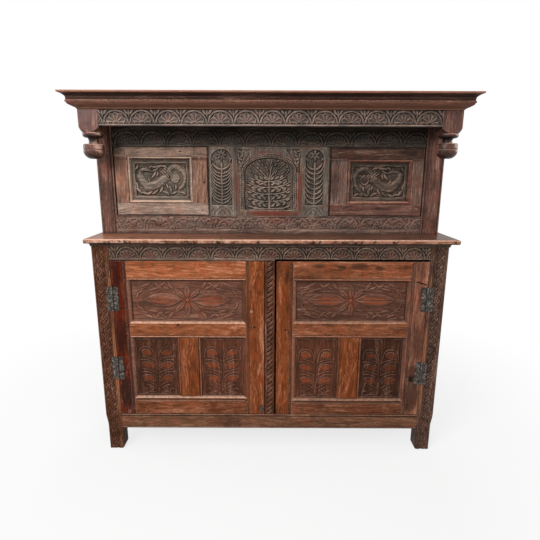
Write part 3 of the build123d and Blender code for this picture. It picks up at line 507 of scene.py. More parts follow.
def bow(start, through, end, steps=9):
    """Points of a quadratic curve that is drawn towards a middle point."""
    on = np.linspace(0, 1, steps)[:, None]
    start, through, end = (np.array(point, float) for point in (start, through, end))
    return start * (1 - on) ** 2 + 2 * through * on * (1 - on) + end * on ** 2


def curl(centre, radii, degrees, steps=16):
    """Points of a spiral between two radii and two directions."""
    reach = np.linspace(*radii, steps)
    angle = np.radians(np.linspace(*degrees, steps))
    return np.stack((centre[0] + reach * np.cos(angle), centre[1] + reach * np.sin(angle)), axis=1)


def stroke(u, v, points, widths):
    """Distance outside a line that is widths wide at its start, middle and end."""
    steps = np.hypot(*np.diff(points, axis=0).T)
    points, steps = points[np.append(True, steps > 0.01)], steps[steps > 0.01]
    reached = np.concatenate(([0.0], np.cumsum(steps))) / steps.sum()
    nearest = np.full(u.shape, 1e3)
    for start, end, low, high in zip(points[:-1], points[1:], reached[:-1], reached[1:]):
        run = end - start
        along = np.clip(((u - start[0]) * run[0] + (v - start[1]) * run[1]) / (run @ run), 0, 1)
        away = np.hypot(u - start[0] - along * run[0], v - start[1] - along * run[1])
        half = np.interp(low + along * (high - low), (0, 0.5, 1), widths) / 2
        nearest = np.minimum(nearest, away - half)
    return nearest


def wander(u, v, seed, reach):
    """Smooth unevenness of hand work, the same every time for one seed."""
    draw = np.random.default_rng(seed)
    total = np.zeros(u.shape)
    for wave in (96.0, 51.0, 27.0):
        angle, phase = draw.uniform(0, 2 * math.pi, 2)
        total += np.sin((u * math.cos(angle) + v * math.sin(angle)) * 2 * math.pi / wave + phase) * wave / 96
    return reach * total / 1.8


def averaged(heights, cells):
    """Heights averaged over a square of cells each way."""
    window = np.ones(2 * cells + 1) / (2 * cells + 1)
    for axis in (0, 1):
        edges = [(cells, cells) if way == axis else (0, 0) for way in (0, 1)]
        heights = np.apply_along_axis(np.convolve, axis, np.pad(heights, edges, mode="edge"), window, "valid")
    return heights


class Relief:
    """The carved face of one board."""

    def __init__(self, wide, high, seed, fine=False, flip=False):
        """wide and high in millimetres; flip draws the design left for right."""
        carving = bpy.context.scene.cupboard_carving
        step = (carving.fine_grid if fine else carving.grid) / MM
        self.wide, self.high = wide, high
        self.step = step
        across = np.linspace(0, wide, max(3, round(wide / step) + 1))
        up = np.linspace(0, high, max(3, round(high / step) + 1))
        self.across, self.up = np.meshgrid(across, up)
        reach = carving.unevenness / MM
        drawn = wide - self.across if flip else self.across
        self.u = drawn + wander(self.across, self.up, seed, reach)
        self.v = self.up + wander(self.across, self.up, seed + 1, reach)
        self.heights = np.zeros(self.u.shape)
        self.seed = seed

    def sink(self, shape, depth, wall=1.6):
        """Cut the inside of a shape down, with a sloping wall."""
        self.heights -= depth * ease(-shape / wall)

    def ground(self, field, motif, depth, wall=1.6):
        """Cut the ground down inside a field, and leave the motif standing, its edges rounded."""
        self.heights -= depth * ease(np.minimum(-field, motif) / wall)
        self.heights -= 0.22 * depth * ease(1 + motif / (2.2 * wall)) * (motif < 0)

    def gouge(self, away, wide, depth):
        """A round-bottomed cut; away is the distance from its middle line."""
        self.heights -= depth * np.clip(1 - (2 * away / wide) ** 2, 0, 1)

    def bead(self, away, wide):
        """Round the wood over into a bead between two quirks."""
        half = wide / 2
        inside = np.clip(1 - (away / half) ** 2, 0, 1)
        self.heights -= np.where(away < half, half * (1 - np.sqrt(inside)), 0)
        self.gouge(away - half, 2.4, 1.6)

    def tooled(self, depth=0.4):
        """Leave the small facets of the tool all over."""
        size = self.seed + 50
        self.heights -= depth * np.abs(wander(self.across * 5, self.up * 5, size, 1.0))
        self.heights -= 0.6 * depth * np.abs(wander(self.across * 12, self.up * 9, size + 1, 1.0))

    def window(self, first, last, foot):
        """The part between two columns in millimetres, from a level up."""
        part = copy.copy(self)
        columns = (self.across[0] >= first - 0.01) & (self.across[0] <= last + 0.01)
        rows = self.up[:, 0] >= foot - 0.01
        for name in ("across", "up", "heights"):
            setattr(part, name, getattr(self, name)[rows][:, columns].copy())
        part.across[:, 0], part.across[:, -1], part.up[0] = first, last, foot
        return part

    def worn(self, most=0.6):
        """Wear the face unevenly, never above the drawn height."""
        self.heights -= most * (0.5 + 0.5 * wander(self.across, self.up, self.seed + 7, 1.0)).clip(0, 1)


def board_mesh(name, relief, corner, columns, thickness, inset=None, grounded=0.45, edges=None):
    """A closed board: its carved face, plain sides and ends, and its back.

    corner is the lower left corner of the face in metres, columns the millimetres
    across at which the back changes slope, thickness(across, up) its depth there,
    inset(up) how far the left and the right side come in at a level, grounded how dark
    the flat of the sunk ground is, and edges how far a painted shadow of the frame comes
    in from the left, the right, the foot and the head.
    """
    rows, count = relief.heights.shape
    levels = relief.up[:, 0]
    left_in, right_in = inset(levels) if inset else (np.zeros(rows), np.zeros(rows))
    squeeze = 1 - (left_in + right_in) / relief.wide

    def placed(across, depth):
        x = corner[0] + (left_in[:, None] + across * squeeze[:, None]) * MM
        z = np.broadcast_to(corner[2] + levels[:, None] * MM, x.shape)
        return np.stack((x, corner[1] + depth * MM, z), axis=2).reshape(-1, 3)

    back_across = np.broadcast_to(np.array(columns, float), (rows, len(columns)))
    back_up = np.broadcast_to(levels[:, None], back_across.shape)
    points = np.concatenate((placed(relief.across, -relief.heights),
                             placed(back_across, thickness(back_across, back_up))))

    front = np.arange(rows * count).reshape(rows, count)
    back = rows * count + np.arange(rows * len(columns)).reshape(rows, len(columns))

    def quads(grid, reverse=False):
        face = np.stack((grid[:-1, :-1], grid[:-1, 1:], grid[1:, 1:], grid[1:, :-1]), axis=2).reshape(-1, 4)
        return face[:, ::-1] if reverse else face

    left = np.stack((back[:, 0], front[:, 0]), axis=1)
    right = np.stack((front[:, -1], back[:, -1]), axis=1)
    four_sided = np.concatenate((quads(front), quads(back, True), quads(left), quads(right)))
    foot = np.concatenate((front[0, ::-1], back[0]))
    head = np.concatenate((front[-1], back[-1, ::-1]))

    corners = np.concatenate((four_sided.ravel(), foot, head))
    starts = np.concatenate((np.arange(len(four_sided)) * 4, [four_sided.size, four_sided.size + len(foot)]))
    smooth = np.zeros(len(starts), bool)
    smooth[:(rows - 1) * (count - 1)] = True

    mesh = bpy.data.meshes.new(name)
    mesh.vertices.add(len(points))
    mesh.vertices.foreach_set("co", points.ravel())
    mesh.loops.add(len(corners))
    mesh.loops.foreach_set("vertex_index", corners)
    mesh.polygons.add(len(starts))
    mesh.polygons.foreach_set("loop_start", starts)
    mesh.polygons.foreach_set("use_smooth", smooth)
    mesh.update(calc_edges=True)

    cells = max(1, round(3.2 / relief.step))
    broad = averaged(averaged(relief.heights, cells), cells)
    ridge = np.clip((relief.heights - broad) / 0.9, 0, 1)
    deepest = max(1.0, -relief.heights.min())
    sunk = grounded * np.clip(-relief.heights / deepest, 0, 1) ** 1.4
    hollow = np.clip(sunk + 0.75 * (broad - relief.heights) / 1.3, 0, 1)
    # painted shadow of the frame along the edges of a panel
    if edges:
        left, right, low, high = edges
        from_edge = np.minimum.reduce((relief.across / left, (relief.wide - relief.across) / right,
                                       relief.up / low, (relief.high - relief.up) / high))
        hollow = np.maximum(hollow, 1 - ease(from_edge - 0.35))
    for label, values in (("ridge", ridge), ("hollow", hollow)):
        whole = np.zeros(len(points))
        whole[:values.size] = values.ravel()
        mesh.attributes.new(label, "FLOAT", "POINT").data.foreach_set("value", whole)
    return mesh


def put(name, mesh, body, materials, replaces=()):
    """Link a piece, give it its finish, and let it ride on its body."""
    piece = bpy.data.objects.new(name, mesh)
    bpy.context.scene.collection.objects.link(piece)
    for material in materials:
        piece.data.materials.append(material)
    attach(piece, body)
    if replaces:
        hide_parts(*replaces)
    return piece


def carve(name, relief, corner, back, body, slot, finish, node, **shape):
    """Mesh a carved board, its lower left corner in millimetres, and put it in a node's place."""
    mesh = board_mesh(name, relief, [edge * MM for edge in corner], *back, **shape)
    put(name, mesh, body, [finish], [node])


def carve_timber(name, relief, x, z, node, slot, finish, span=None, **shape):
    """Carve a timber of the carcase, its back flat and as deep as its node; span is its sides."""
    low, high = millimetres(node)
    back = span or (0, relief.wide), lambda across, up: np.full(across.shape, high.y - low.y)
    carve(name, relief, (x, low.y, z), back, "carcase", slot, finish, node, **shape)


def feathered_back(wide, high):
    """The back of a panel: thin at its edges, bevelled up to a field."""
    def thickness(across, up):
        from_edge = np.minimum(np.minimum(across, wide - across), np.minimum(up, high - up))
        return PANEL_EDGE + (PANEL_THICK - PANEL_EDGE) * np.clip((from_edge - PANEL_LIP) / PANEL_BEVEL, 0, 1)
    columns = (0, PANEL_LIP, PANEL_LIP + PANEL_BEVEL, wide - PANEL_LIP - PANEL_BEVEL, wide - PANEL_LIP, wide)
    return columns, thickness


PANEL_EDGE, PANEL_THICK = 5.0, 9.0  # a panel in its groove, and in its field
PANEL_LIP, PANEL_BEVEL = 4.0, 23.0
GROOVE, IN_GROOVE = 8.0, 2.0  # depth of a groove, and how far a carved panel goes into it
PANEL_SHADOW = (7.0, 10.0, 6.0, 11.0)  # painted shadow of the frame along the left, right, foot and head of a carved panel


def millimetres(node):
    """A node's lowest and highest corner, in millimetres."""
    low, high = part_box(node)
    return low / MM, high / MM


# ------------ carved rails

TENON = 34.0  # length of the tenons of the carcase rails
RAIL_RELIEF = 7.0  # foot of the rail under the shelf, cut up over the right door
BEAD = 8.8  # width of the beads of the frieze and the posts
FIRST_ARCH = {"frieze": -648, "head": -656, "rail": -641, "sill": -640}  # middle of the leftmost arch
LAPS = 13  # arches of the frieze and of the rail under the shelf
CANOPY_SHADOW = (1.512, 1.545)  # levels in metres between which the painted shadow of the canopy sets in
# levels in metres under which the foot of the sill rail is darker
SILL_FOOT_LEVELS = (1.068, 1.077)
SILL_RED = ((-520, 1110, 60, 16, 0.3), (-250, 1118, 80, 12, 0.4), (40, 1124, 90, 14, 0.7),
            (230, 1120, 50, 12, 0.5), (420, 1106, 90, 14, 0.4), (600, 1116, 60, 16, 0.4))


def lunettes(relief, pitch, first, foot, rise, depth, petals, dots=False):
    """A row of thin arches over fluted shells, with a V of leaves between them."""
    aside = (relief.u - first + pitch / 2) % pitch - pitch / 2
    up = relief.v - foot
    arch = np.hypot(aside / (pitch / 2), up / rise)
    turn = np.arctan2(np.maximum(up, 0), aside) / math.pi
    flute = np.abs(np.sin(math.pi * petals * turn))
    above = ease(up / 1.2)

    shell_edge = 0.66 + 0.10 * flute
    inner, outer = 0.86, 0.95
    crescent = ease((arch - shell_edge) / 0.05) * ease((inner - arch) / 0.04)
    within_shell = ease((shell_edge - arch) / 0.05)
    spandrel = ease((arch - outer) / 0.04)

    relief.heights -= above * depth * crescent
    fluted = 0.08 + 0.55 * flute ** 1.3 * ease((arch - 0.10) / 0.12)
    relief.heights -= above * within_shell * fluted * depth

    beside = pitch / 2 - np.abs(aside)
    bud = np.minimum(leaf(beside, up, (pitch * 0.115, rise * 0.82), rise * 0.46, pitch * 0.07, 52),
                     leaf(beside, up, (0, rise * 0.66), rise * 0.56, pitch * 0.06, 90))
    relief.heights -= above * depth * spandrel * ease(bud / 1.2)
    if dots:
        strip = ease((up + 7) / 1.0) * ease(-up / 1.0)
        away = np.hypot((relief.u - first) % (pitch / 5) - pitch / 10, up + 3.4)
        relief.heights -= strip * depth * 0.8 * (1 - np.sqrt(np.clip(1 - (away / 3.4) ** 2, 0, 1)))


def scrolls(relief, pitch, first, foot, depth):
    """Shallow, worn arches with scrolled feet and feathery leaves in each."""
    place = relief.u - first + 8 * np.sin(relief.u / 61) + 4 * np.sin(relief.u / 23 + 1)
    aside = (place + pitch / 2) % pitch - pitch / 2
    up = relief.v - foot + 3 * np.sin(relief.u / 37)
    near = np.abs(aside + 4 * np.sin(relief.u / 47 + relief.v / 9))
    high = relief.high - foot
    motif = np.abs(np.hypot(aside / (pitch * 0.47), up / (high * 0.9)) - 0.93) * pitch * 0.4 - 2.0
    volute = curl((pitch * 0.24, 17), (14, 3), (200, -260))
    motif = np.minimum(motif, stroke(near, up, volute, (3.2, 3.6, 4.4)))
    for at, long, wide, turn in (((0.10, 38), 28, 8, 62), ((0.02, 30), 24, 6, 84), ((0.19, 46), 22, 6, 30),
                                 ((0.36, 26), 18, 6, 100), ((0.5, 44), 36, 9, 90), ((0.43, 54), 24, 6, 40),
                                 ((0.46, 16), 22, 6, 60)):
        motif = np.minimum(motif, leaf(near, up, (pitch * at[0], at[1]), long, wide, turn, 2))
    relief.ground(slab(relief.u, relief.v, (-9, foot), (relief.wide + 9, relief.high - 3)), motif, depth, 1.8)
    relief.gouge(np.abs((up + 0.7 * near) % 8 - 4) + 9 * (motif > -0.4), 2.2, 0.8)


def painted_falloff_to_the_right(share):
    """Painted falloff of the light: darker towards the right end of a long rail."""
    def laid(wood, place):
        along = wood.part(place, X)
        return (along + wood.noise(place, 5.0) * 0.3).over(0.05, 0.75) * share
    return laid


def painted_canopy_shadow(wood, place):
    """Painted shadow of the canopy along the top of the head rail, and painted falloff towards its right end.
    """
    level = wood.part(place, Z)
    return painted_falloff_to_the_right(0.30)(wood, place) + level.over(*CANOPY_SHADOW) * 0.5


def sill_falloff_and_foot(wood, place):
    """Painted falloff towards the right end of the sill rail, and a darker band along its foot where it meets
    the shelf.
    """
    level = wood.part(place, Z)
    return painted_falloff_to_the_right(0.18)(wood, place) + level.under(*SILL_FOOT_LEVELS) * 0.42


class CUPBOARD_OT_frieze(bpy.types.Operator):
    """Carve the frieze of the canopy, with a plain bead along its foot"""
    bl_idname = "cupboard.frieze"
    bl_label = "Frieze"

    def execute(self, context):
        carving = context.scene.cupboard_carving
        low, high = millimetres("frieze_board")
        half, pitch = -low.x - TENON, carving.frieze_pitch / MM
        relief = Relief(2 * half, high.z - low.z, 11)
        lunettes(relief, pitch, FIRST_ARCH["frieze"] + half, foot=15.5, rise=50.0, depth=carving.ground / MM,
                 petals=5, dots=True)
        relief.bead(np.abs(relief.up - BEAD / 2), BEAD)
        relief.tooled()
        shells = spots([(FIRST_ARCH["frieze"] + pitch * lap, low.z + 32, 24, 15, 0.7) for lap in range(LAPS)])
        # painted falloff of the light darkens the frieze towards its right end
        finish = oak("frieze_oak", "x", tone_of("frieze"), carved=True, gloss=0.5, wear=0.85, rubbed=shells,
                     red=tone_of("frieze_red"), marks=painted_falloff_to_the_right(0.42))
        carve_timber("carved_frieze", relief, -half, low.z, "frieze_board", "frieze_oak", finish)
        return {"FINISHED"}


def between_uprights(left_node, right_node):
    """The facing sides of two uprights, in millimetres."""
    return millimetres(left_node)[1].x, millimetres(right_node)[0].x


class CUPBOARD_OT_carved_rails(bpy.types.Operator):
    """Carve the head rail and sill rail of the upper stage and the rail under the shelf"""
    bl_idname = "cupboard.carved_rails"
    bl_label = "Carved rails"

    def execute(self, context):
        carving = context.scene.cupboard_carving
        depth = carving.ground / MM
        left, right = between_uprights("upper_stile_left", "upper_stile_right")
        low, high = millimetres("upper_head_rail")
        head = Relief(right - left, high.z - low.z, 21)
        lunettes(head, carving.head_pitch / MM, FIRST_ARCH["head"] - left, foot=7.0, rise=62.0, depth=depth,
                 petals=7)
        head.tooled()
        # painted shadow of the canopy and painted falloff to the right on the head rail
        finish = oak("head_rail_oak", "x", tone_of("head_rail"), carved=True, gloss=0.6, wear=0.22, dirt=0.8,
                     marks=painted_canopy_shadow)
        carve_timber("carved_head_rail", head, left, low.z, "upper_head_rail", "upper_carcase_oak", finish)

        low, high = millimetres("upper_sill_rail")
        sill = Relief(right - left, high.z - low.z, 31)
        scrolls(sill, carving.sill_pitch / MM, FIRST_ARCH["sill"] - left, foot=20.0, depth=2.4)
        sill.gouge(np.abs(sill.v - 18.0), 2.6, 1.0)
        sill.tooled()
        sill.worn(2.2)
        # painted falloff to the right and a darker foot on the sill rail
        finish = oak("sill_oak", "x", tone_of("sill"), carved=True, wear=0.6, dirt=0.75,
                     rubbed=spots(SILL_RED), marks=sill_falloff_and_foot)
        carve_timber("carved_sill_rail", sill, left, low.z, "upper_sill_rail", "upper_carcase_oak", finish)

        left, right = between_uprights("front_post_left", "front_post_right")
        low, high = millimetres("lunette_rail")
        pitch = carving.rail_pitch / MM
        rail = Relief(right - left, high.z - low.z, 41)
        lunettes(rail, pitch, FIRST_ARCH["rail"] - left, foot=9.0, rise=53.0, depth=depth, petals=6)
        rail.tooled()
        notch = millimetres("lower_muntin")[1].x - left
        shells = spots([(FIRST_ARCH["rail"] + pitch * lap, 985, 26, 16, 0.55) for lap in range(LAPS)])
        finish = oak("lunette_oak", "x", tone_of("lower_carcase"), carved=True, gloss=0.48, wear=0.40,
                     rubbed=shells)
        for side, first, last, foot in (("left", 0, notch, 0), ("right", notch, rail.wide, RAIL_RELIEF)):
            carve_timber(f"carved_lunette_rail_{side}", rail.window(first, last, foot), left, low.z,
                         "lunette_rail", "lower_carcase_oak", finish, (first, last))
        return {"FINISHED"}


# ------------ carved uprights

POST_FIELD = (13.0, 57.0)  # carved band on a front post, from its outer edge
POST_LINE = 15.0  # line beside the band, from the inner edge
PALE_BAND = 9  # middle of the tan wood, from the inner edge
FOOT_ROUND, FOOT_WORN = 7.0, 18.0  # worn front edge and inner corner of a foot
FOOT_STEP = 8.0  # outer side of a foot, cut in below its shoulder
FOOT_SHOULDER = (130.0, 196.0)


def running_leaf(relief, pitch, depth):
    """A stem that swings from side to side up the field, with a leaf in every bend."""
    low, high = POST_FIELD
    middle, half = (low + high) / 2, (high - low) / 2
    climb = relief.v % pitch
    u = relief.u - middle
    motif = np.abs(u - half * 0.34 * np.sin(2 * math.pi * climb / pitch)) / 1.25 - 1.4
    ribs = np.full(u.shape, 99.0)
    for side, level in ((1, 0.70), (-1, 0.20)):
        for lap in (-1, 0, 1):
            at = pitch * (level + lap)
            big, turn = (side * half * 0.56, at), 90 - side * 34
            small = leaves(u, climb, (((side * half * 0.84, at - 11), 15, 5, 90 - side * 8),
                                      ((side * half * 0.14, at + 3), 15, 5, 90 + side * 36)))
            motif = np.minimum.reduce((motif, leaf(u, climb, big, 23, 10, turn, side * 2), small))
            ribs = np.minimum(ribs, rib(u, climb, big, 23, turn, side * 2))
    relief.ground(slab(relief.u, relief.v, (low, -9), (high, relief.high + 9)), motif, depth, 1.3)
    relief.gouge(ribs, 2.6, 1.3)
    ticks = (relief.v + 0.8 * np.abs(u)) % (pitch / 4)
    relief.gouge(np.hypot(ticks - pitch / 8, (np.abs(np.abs(u) - half + 3)) * 0.8), 4.6, 1.6)


def rounded(levels, radius):
    """How far a foot is worn back at each level, as a quarter round."""
    short = np.clip(1 - levels / radius, 0, 1)
    return radius * (1 - np.sqrt(1 - short ** 2))


def foot_sides(flip):
    """How far the left and the right side of a front post come in towards its foot."""
    def sides(levels):
        foot, top = FOOT_SHOULDER
        outer = FOOT_STEP * (1 - ease((levels - foot) / (top - foot)))
        inner = rounded(levels, FOOT_WORN)
        return (inner, outer) if flip else (outer, inner)
    return sides


class CUPBOARD_OT_front_posts(bpy.types.Operator):
    """Carve the running leaf down both front posts, to the worn feet"""
    bl_idname = "cupboard.front_posts"
    bl_label = "Front posts"

    def execute(self, context):
        carving = context.scene.cupboard_carving
        shelf = millimetres("shelf_boards")[0].z
        for side, flip in (("left", False), ("right", True)):
            node = f"front_post_{side}"
            low, high = millimetres(node)
            relief = Relief(high.x - low.x, shelf, 51 + flip, fine=True, flip=flip)
            running_leaf(relief, carving.post_pitch / MM, carving.ground / MM * 0.7)
            drawn = relief.wide - relief.across if flip else relief.across
            relief.bead(np.abs(drawn - BEAD / 2), BEAD)
            relief.bead(np.abs(relief.wide - BEAD / 2 - drawn), BEAD)
            relief.gouge(np.abs(relief.wide - POST_LINE - drawn), 2.2, 1.2)
            relief.tooled()
            relief.heights -= rounded(relief.up, FOOT_ROUND)
            inner = low.x + PALE_BAND if flip else high.x - PALE_BAND
            finish = oak(f"{side}_post_oak", "z", tone_of(f"{side}_post"), carved=True, gloss=0.46, wear=0.55,
                         rubbed=spots([(inner, 430, 8, 260, 1.2), (inner, 800, 7, 110, 0.8)]),
                         red=tone_of("post_edge"), marks=spots([(684, 30, 70, 100, 0.8)]))
            carve_timber(f"carved_{node}", relief, low.x, 0.0, node, "lower_carcase_oak", finish,
                         inset=foot_sides(flip))
        return {"FINISHED"}


def between_rails(lower_node, upper_node):
    """The facing edges of two rails, in millimetres."""
    return millimetres(lower_node)[1].z, millimetres(upper_node)[0].z


class CUPBOARD_OT_centre_muntin(bpy.types.Operator):
    """Carve the slanting gouges of the upright between the lower doors"""
    bl_idname = "cupboard.centre_muntin"
    bl_label = "Centre muntin"

    def execute(self, context):
        low, high = millimetres("lower_muntin")
        foot, top = between_rails("lower_bottom_rail", "lunette_rail")
        relief = Relief(high.x - low.x, top - foot, 61, fine=True)
        u = relief.u - relief.wide / 2
        pitch, field = 24.0, 13.0
        climb = (relief.v - 0.75 * u - 0.02 * u ** 2) % pitch
        inside = slab(u, relief.v, (-field, -9), (field, relief.high + 9))
        petal = np.abs(climb - pitch * 0.36) - pitch * 0.30 * np.sqrt(np.clip(1 - (u / field) ** 2, 0, 1))
        relief.ground(inside, petal, 3.4)
        relief.gouge(np.abs(climb - pitch * 0.34) + np.maximum(0, inside + 5), 4.2, 2.2)
        relief.gouge(np.abs(climb - pitch * 0.83) + np.maximum(0, inside + 2), 4.0, 1.4)
        relief.gouge(np.abs(np.abs(u) - field - 2.2), 2.0, 1.2)
        relief.tooled()
        finish = oak("centre_muntin_oak", "z", tone_of("centre_muntin"), carved=True, wear=0.5)
        carve_timber("carved_centre_muntin", relief, low.x, foot, "lower_muntin", "lower_carcase_oak", finish)
        return {"FINISHED"}


FIELD_FOOT, FIELD_HEAD = 51.0, 306.0  # sunk, round-topped field of an upper muntin
FIELD_MARGINS = {"left": (9.0, 15.0), "right": (14.0, 24.0)}
BRANCHES = {  # pairs of leaves, their spacing, widths and reach, and petals
    "left": (10, 15.2, (2.4, 4.4, 2.0), 40, 8),
    "right": (7, 22.5, (3.4, 7.8, 2.4), 32, 6),
}
MUNTIN_RED = {
    "left": ((-169, 1300, 6, 130, 0.55), (-225, 1290, 3, 90, 0.6), (-214, 1170, 18, 22, 0.4),
             (-190, 1440, 20, 14, 0.35)),
    "right": ((262, 1230, 5, 60, 0.6), (250, 1190, 26, 10, 0.3), (160, 1150, 8, 60, 0.35)),
}


def branch_of_leaves(relief, margins, pairs, spacing, widths, reach, petals):
    """A stem with leaves that sweep up and out, under a flower, in a round-topped field."""
    radius = (relief.wide - sum(margins)) / 2
    u, v = relief.u - margins[0] - radius, relief.v
    field = np.where(v > FIELD_HEAD - radius, disc(u, v, (0, FIELD_HEAD - radius), radius),
                     slab(u, v, (-radius, FIELD_FOOT), (radius, FIELD_HEAD)))
    near = np.abs(u)
    foot, neck = FIELD_FOOT + 5, FIELD_HEAD - 94
    motif = near - 2.6 + np.maximum(0, np.maximum(foot - v, v - neck - 6))
    for pair in range(pairs):
        level = foot + 3 + pair * spacing
        sweep = bow((3, level), (radius * 0.72, level + 4), (radius - 2.5, level + reach))
        motif = np.minimum(motif, stroke(near, v, sweep, widths))
    crown = (0, FIELD_HEAD - 27)
    for petal in range(petals):
        turn = 90 + 360 / petals * petal
        motif = np.minimum(motif, leaf(u, v, about(crown, 14, turn), 21, 46 / petals, turn))
    collar = stroke(near, v, bow((2, neck + 4), (20, neck + 4), (radius - 8, neck + 28)), (5, 8, 3))
    bud = leaf(u, v, (0, neck + 22), 36, 9, 90)
    motif = np.minimum.reduce((motif, collar, bud, leaf(near, v, (radius - 8, FIELD_HEAD - 46), 18, 6, 60)))
    relief.ground(field, motif, 5.4, 1.2)
    relief.gouge(np.abs(disc(u, v, crown, 5.0)), 2.0, 1.4)
    relief.gouge(np.abs((v % 8.0) - 4.0) + 30 * (near > 3.2) + 30 * (v < foot) + 30 * (v > neck), 2.6, 1.2)
    below = np.maximum(0, v - FIELD_FOOT + 6) * 9
    for start, through, end in (((1, 43), (22, 36), (40, 6)), ((1, 27), (12, 22), (21, 3)),
                                ((46, 44), (40, 30), (52, 20))):
        arc = stroke(near, v, bow(start, through, end), (1, 1, 1))
        relief.gouge(np.maximum(0, arc) + below, 3.2, 2.0)
    relief.sink(leaf(near, v, (10, 10), 18, 6, 66), 2.2)
    relief.gouge(np.abs(relief.wide / 2 - 4.5 - np.abs(relief.across - relief.wide / 2)), 2.0, 0.9)


class CUPBOARD_OT_upper_muntins(bpy.types.Operator):
    """Carve the leafy branches either side of the arcade"""
    bl_idname = "cupboard.upper_muntins"
    bl_label = "Upper muntins"

    def execute(self, context):
        foot, top = between_rails("upper_sill_rail", "upper_head_rail")
        # a lighter copy of the arcade tone on the left and a darker one on the right: painted falloff of the
        # light
        for side, seed, share in (("left", 71, 1.15), ("right", 73, 0.9)):
            node = f"upper_muntin_{side}"
            low, high = millimetres(node)
            relief = Relief(high.x - low.x, top - foot, seed, fine=True)
            branch_of_leaves(relief, FIELD_MARGINS[side], *BRANCHES[side])
            relief.tooled(0.3)
            finish = oak(f"{node}_oak", "z", shaded(tone_of("arcade"), share), carved=True, gloss=0.48,
                         rubbed=spots(MUNTIN_RED[side]))
            carve_timber(f"carved_{node}", relief, low.x, foot, node, "upper_carcase_oak", finish)
        return {"FINISHED"}


# ------------ the arcade

ARCH_HALF, ARCH_FOOT, ARCH_SPRING, ARCH_RISE = 116.0, 28.0, 203.0, 66.0
ARCH_DEEP = 9.0
ARCH_MIDDLE = 155.0  # middle of the arch, from the left side of the panel
PEARLS, PEARL_LINE = 74, 8.5  # pearls round the arch, and how far outside it they run
SPANDREL_FOOT, SPANDREL_HEAD = 196, 306
SPRAY_LEAVES = (  # share of the spray's reach, height over it, length, width, turn
    (0.20, 4, 26, 11, 42), (0.45, 6, 28, 12, 34), (0.72, 12, 26, 11, 44), (0.34, -18, 28, 10, -14),
    (0.62, -13, 28, 10, 0), (0.88, -2, 24, 9, 16))
HEAD_LEAVES = (  # place either side of the trunk, length and turn
    (34, 204, 30, 58), (66, 200, 30, 34), (42, 252, 22, 30), (66, 236, 26, 44), (88, 208, 24, 62),
    (10, 246, 22, 80), (84, 228, 16, 60), (52, 222, 22, 20), (30, 236, 20, 70))
ARCADE_RED = (  # rubbed places, from the middle of the arch
    (-20, 1434, 36, 12, 0.7), (44, 1428, 22, 12, 0.6), (84, 1404, 26, 12, 0.7), (-70, 1412, 30, 9, 0.5),
    (144, 1270, 14, 130, 1.2), (-148, 1270, 10, 110, 0.9), (10, 1158, 130, 18, 1.3), (128, 1210, 8, 80, 0.8),
    (-126, 1180, 7, 50, 0.6))


def arch_outline(grow, count):
    """Evenly spaced points up one jamb, over the arch and down the other."""
    half, rise = ARCH_HALF + grow, ARCH_RISE + grow
    turn = np.linspace(math.pi, 0, 200)
    over = np.stack((half * np.cos(turn), ARCH_SPRING + rise * np.sin(turn)), axis=1)
    path = np.concatenate(([(-half, ARCH_FOOT)], over, [(half, ARCH_FOOT)]))
    along = np.concatenate(([0.0], np.cumsum(np.hypot(*np.diff(path, axis=0).T))))
    wanted = np.linspace(0, along[-1], count)
    return np.stack((np.interp(wanted, along, path[:, 0]), np.interp(wanted, along, path[:, 1])), axis=1)


def within_arch(u, v, grow=0.0):
    """Distance outside the arched opening."""
    half, rise = ARCH_HALF + grow, ARCH_RISE + grow
    over = (np.hypot(u / half, (v - ARCH_SPRING) / rise) - 1) * rise
    return np.where(v > ARCH_SPRING, over, slab(u, v, (-half, ARCH_FOOT - grow), (half, 400)))


def tree_of_life(u, v):
    """The standing parts of the tree: a trunk, a forked head and tiers of long sprays."""
    near = np.abs(u)
    tree = stroke(u, v, bow((0, ARCH_FOOT), (2, 110), (0, 176)), (11, 8, 6))
    for tip, wide in (((-62, 228), 6), ((48, 232), 6), ((-22, 256), 5), ((20, 258), 5)):
        tree = np.minimum(tree, stroke(u, v, bow((0, 166), (tip[0] * 0.3, 192), tip), (wide, wide - 1, 2.6)))
    for turn in range(0, 360, 60):
        at = (13 * math.cos(math.radians(turn)), 226 + 12 * math.sin(math.radians(turn)))
        tree = np.minimum(tree, leaf(u, v, at, 14, 6, turn + 20))
    for level, reach, lift in ((46, 100, 2), (80, 104, 12), (113, 102, 16), (145, 104, 18), (170, 82, 20)):
        spray = bow((2, level - 10), (reach * 0.5, level - 18), (reach, level + lift))
        tree = np.minimum(tree, stroke(near, v, spray, (5, 8.0, 3)))
        for out, up, long, wide, turn in SPRAY_LEAVES:
            tree = np.minimum(tree, leaf(near, v, (reach * out, level + up), long, wide, turn, 1.5))
    for x, z, long, turn in HEAD_LEAVES:
        tree = np.minimum(tree, leaf(near, v, (x, z), long, 6, turn, 2))
    return tree


def carve_opening(relief, u, v):
    """Sink the arched opening, with the tree standing in it over a stippled ground."""
    opening = within_arch(u, v)
    standing = ease(-tree_of_life(u, v) / 1.2) * ease((-opening - 2) / 1.5)
    relief.heights -= ARCH_DEEP * ease(-opening / 1.6)
    relief.heights += standing * (ARCH_DEEP - 2.8)
    stippled = np.abs(np.sin(u * 0.55 + 0.3 * v) * np.sin(v * 0.5))
    relief.heights += 1.6 * ease(-opening / 2) * stippled * (1 - standing)


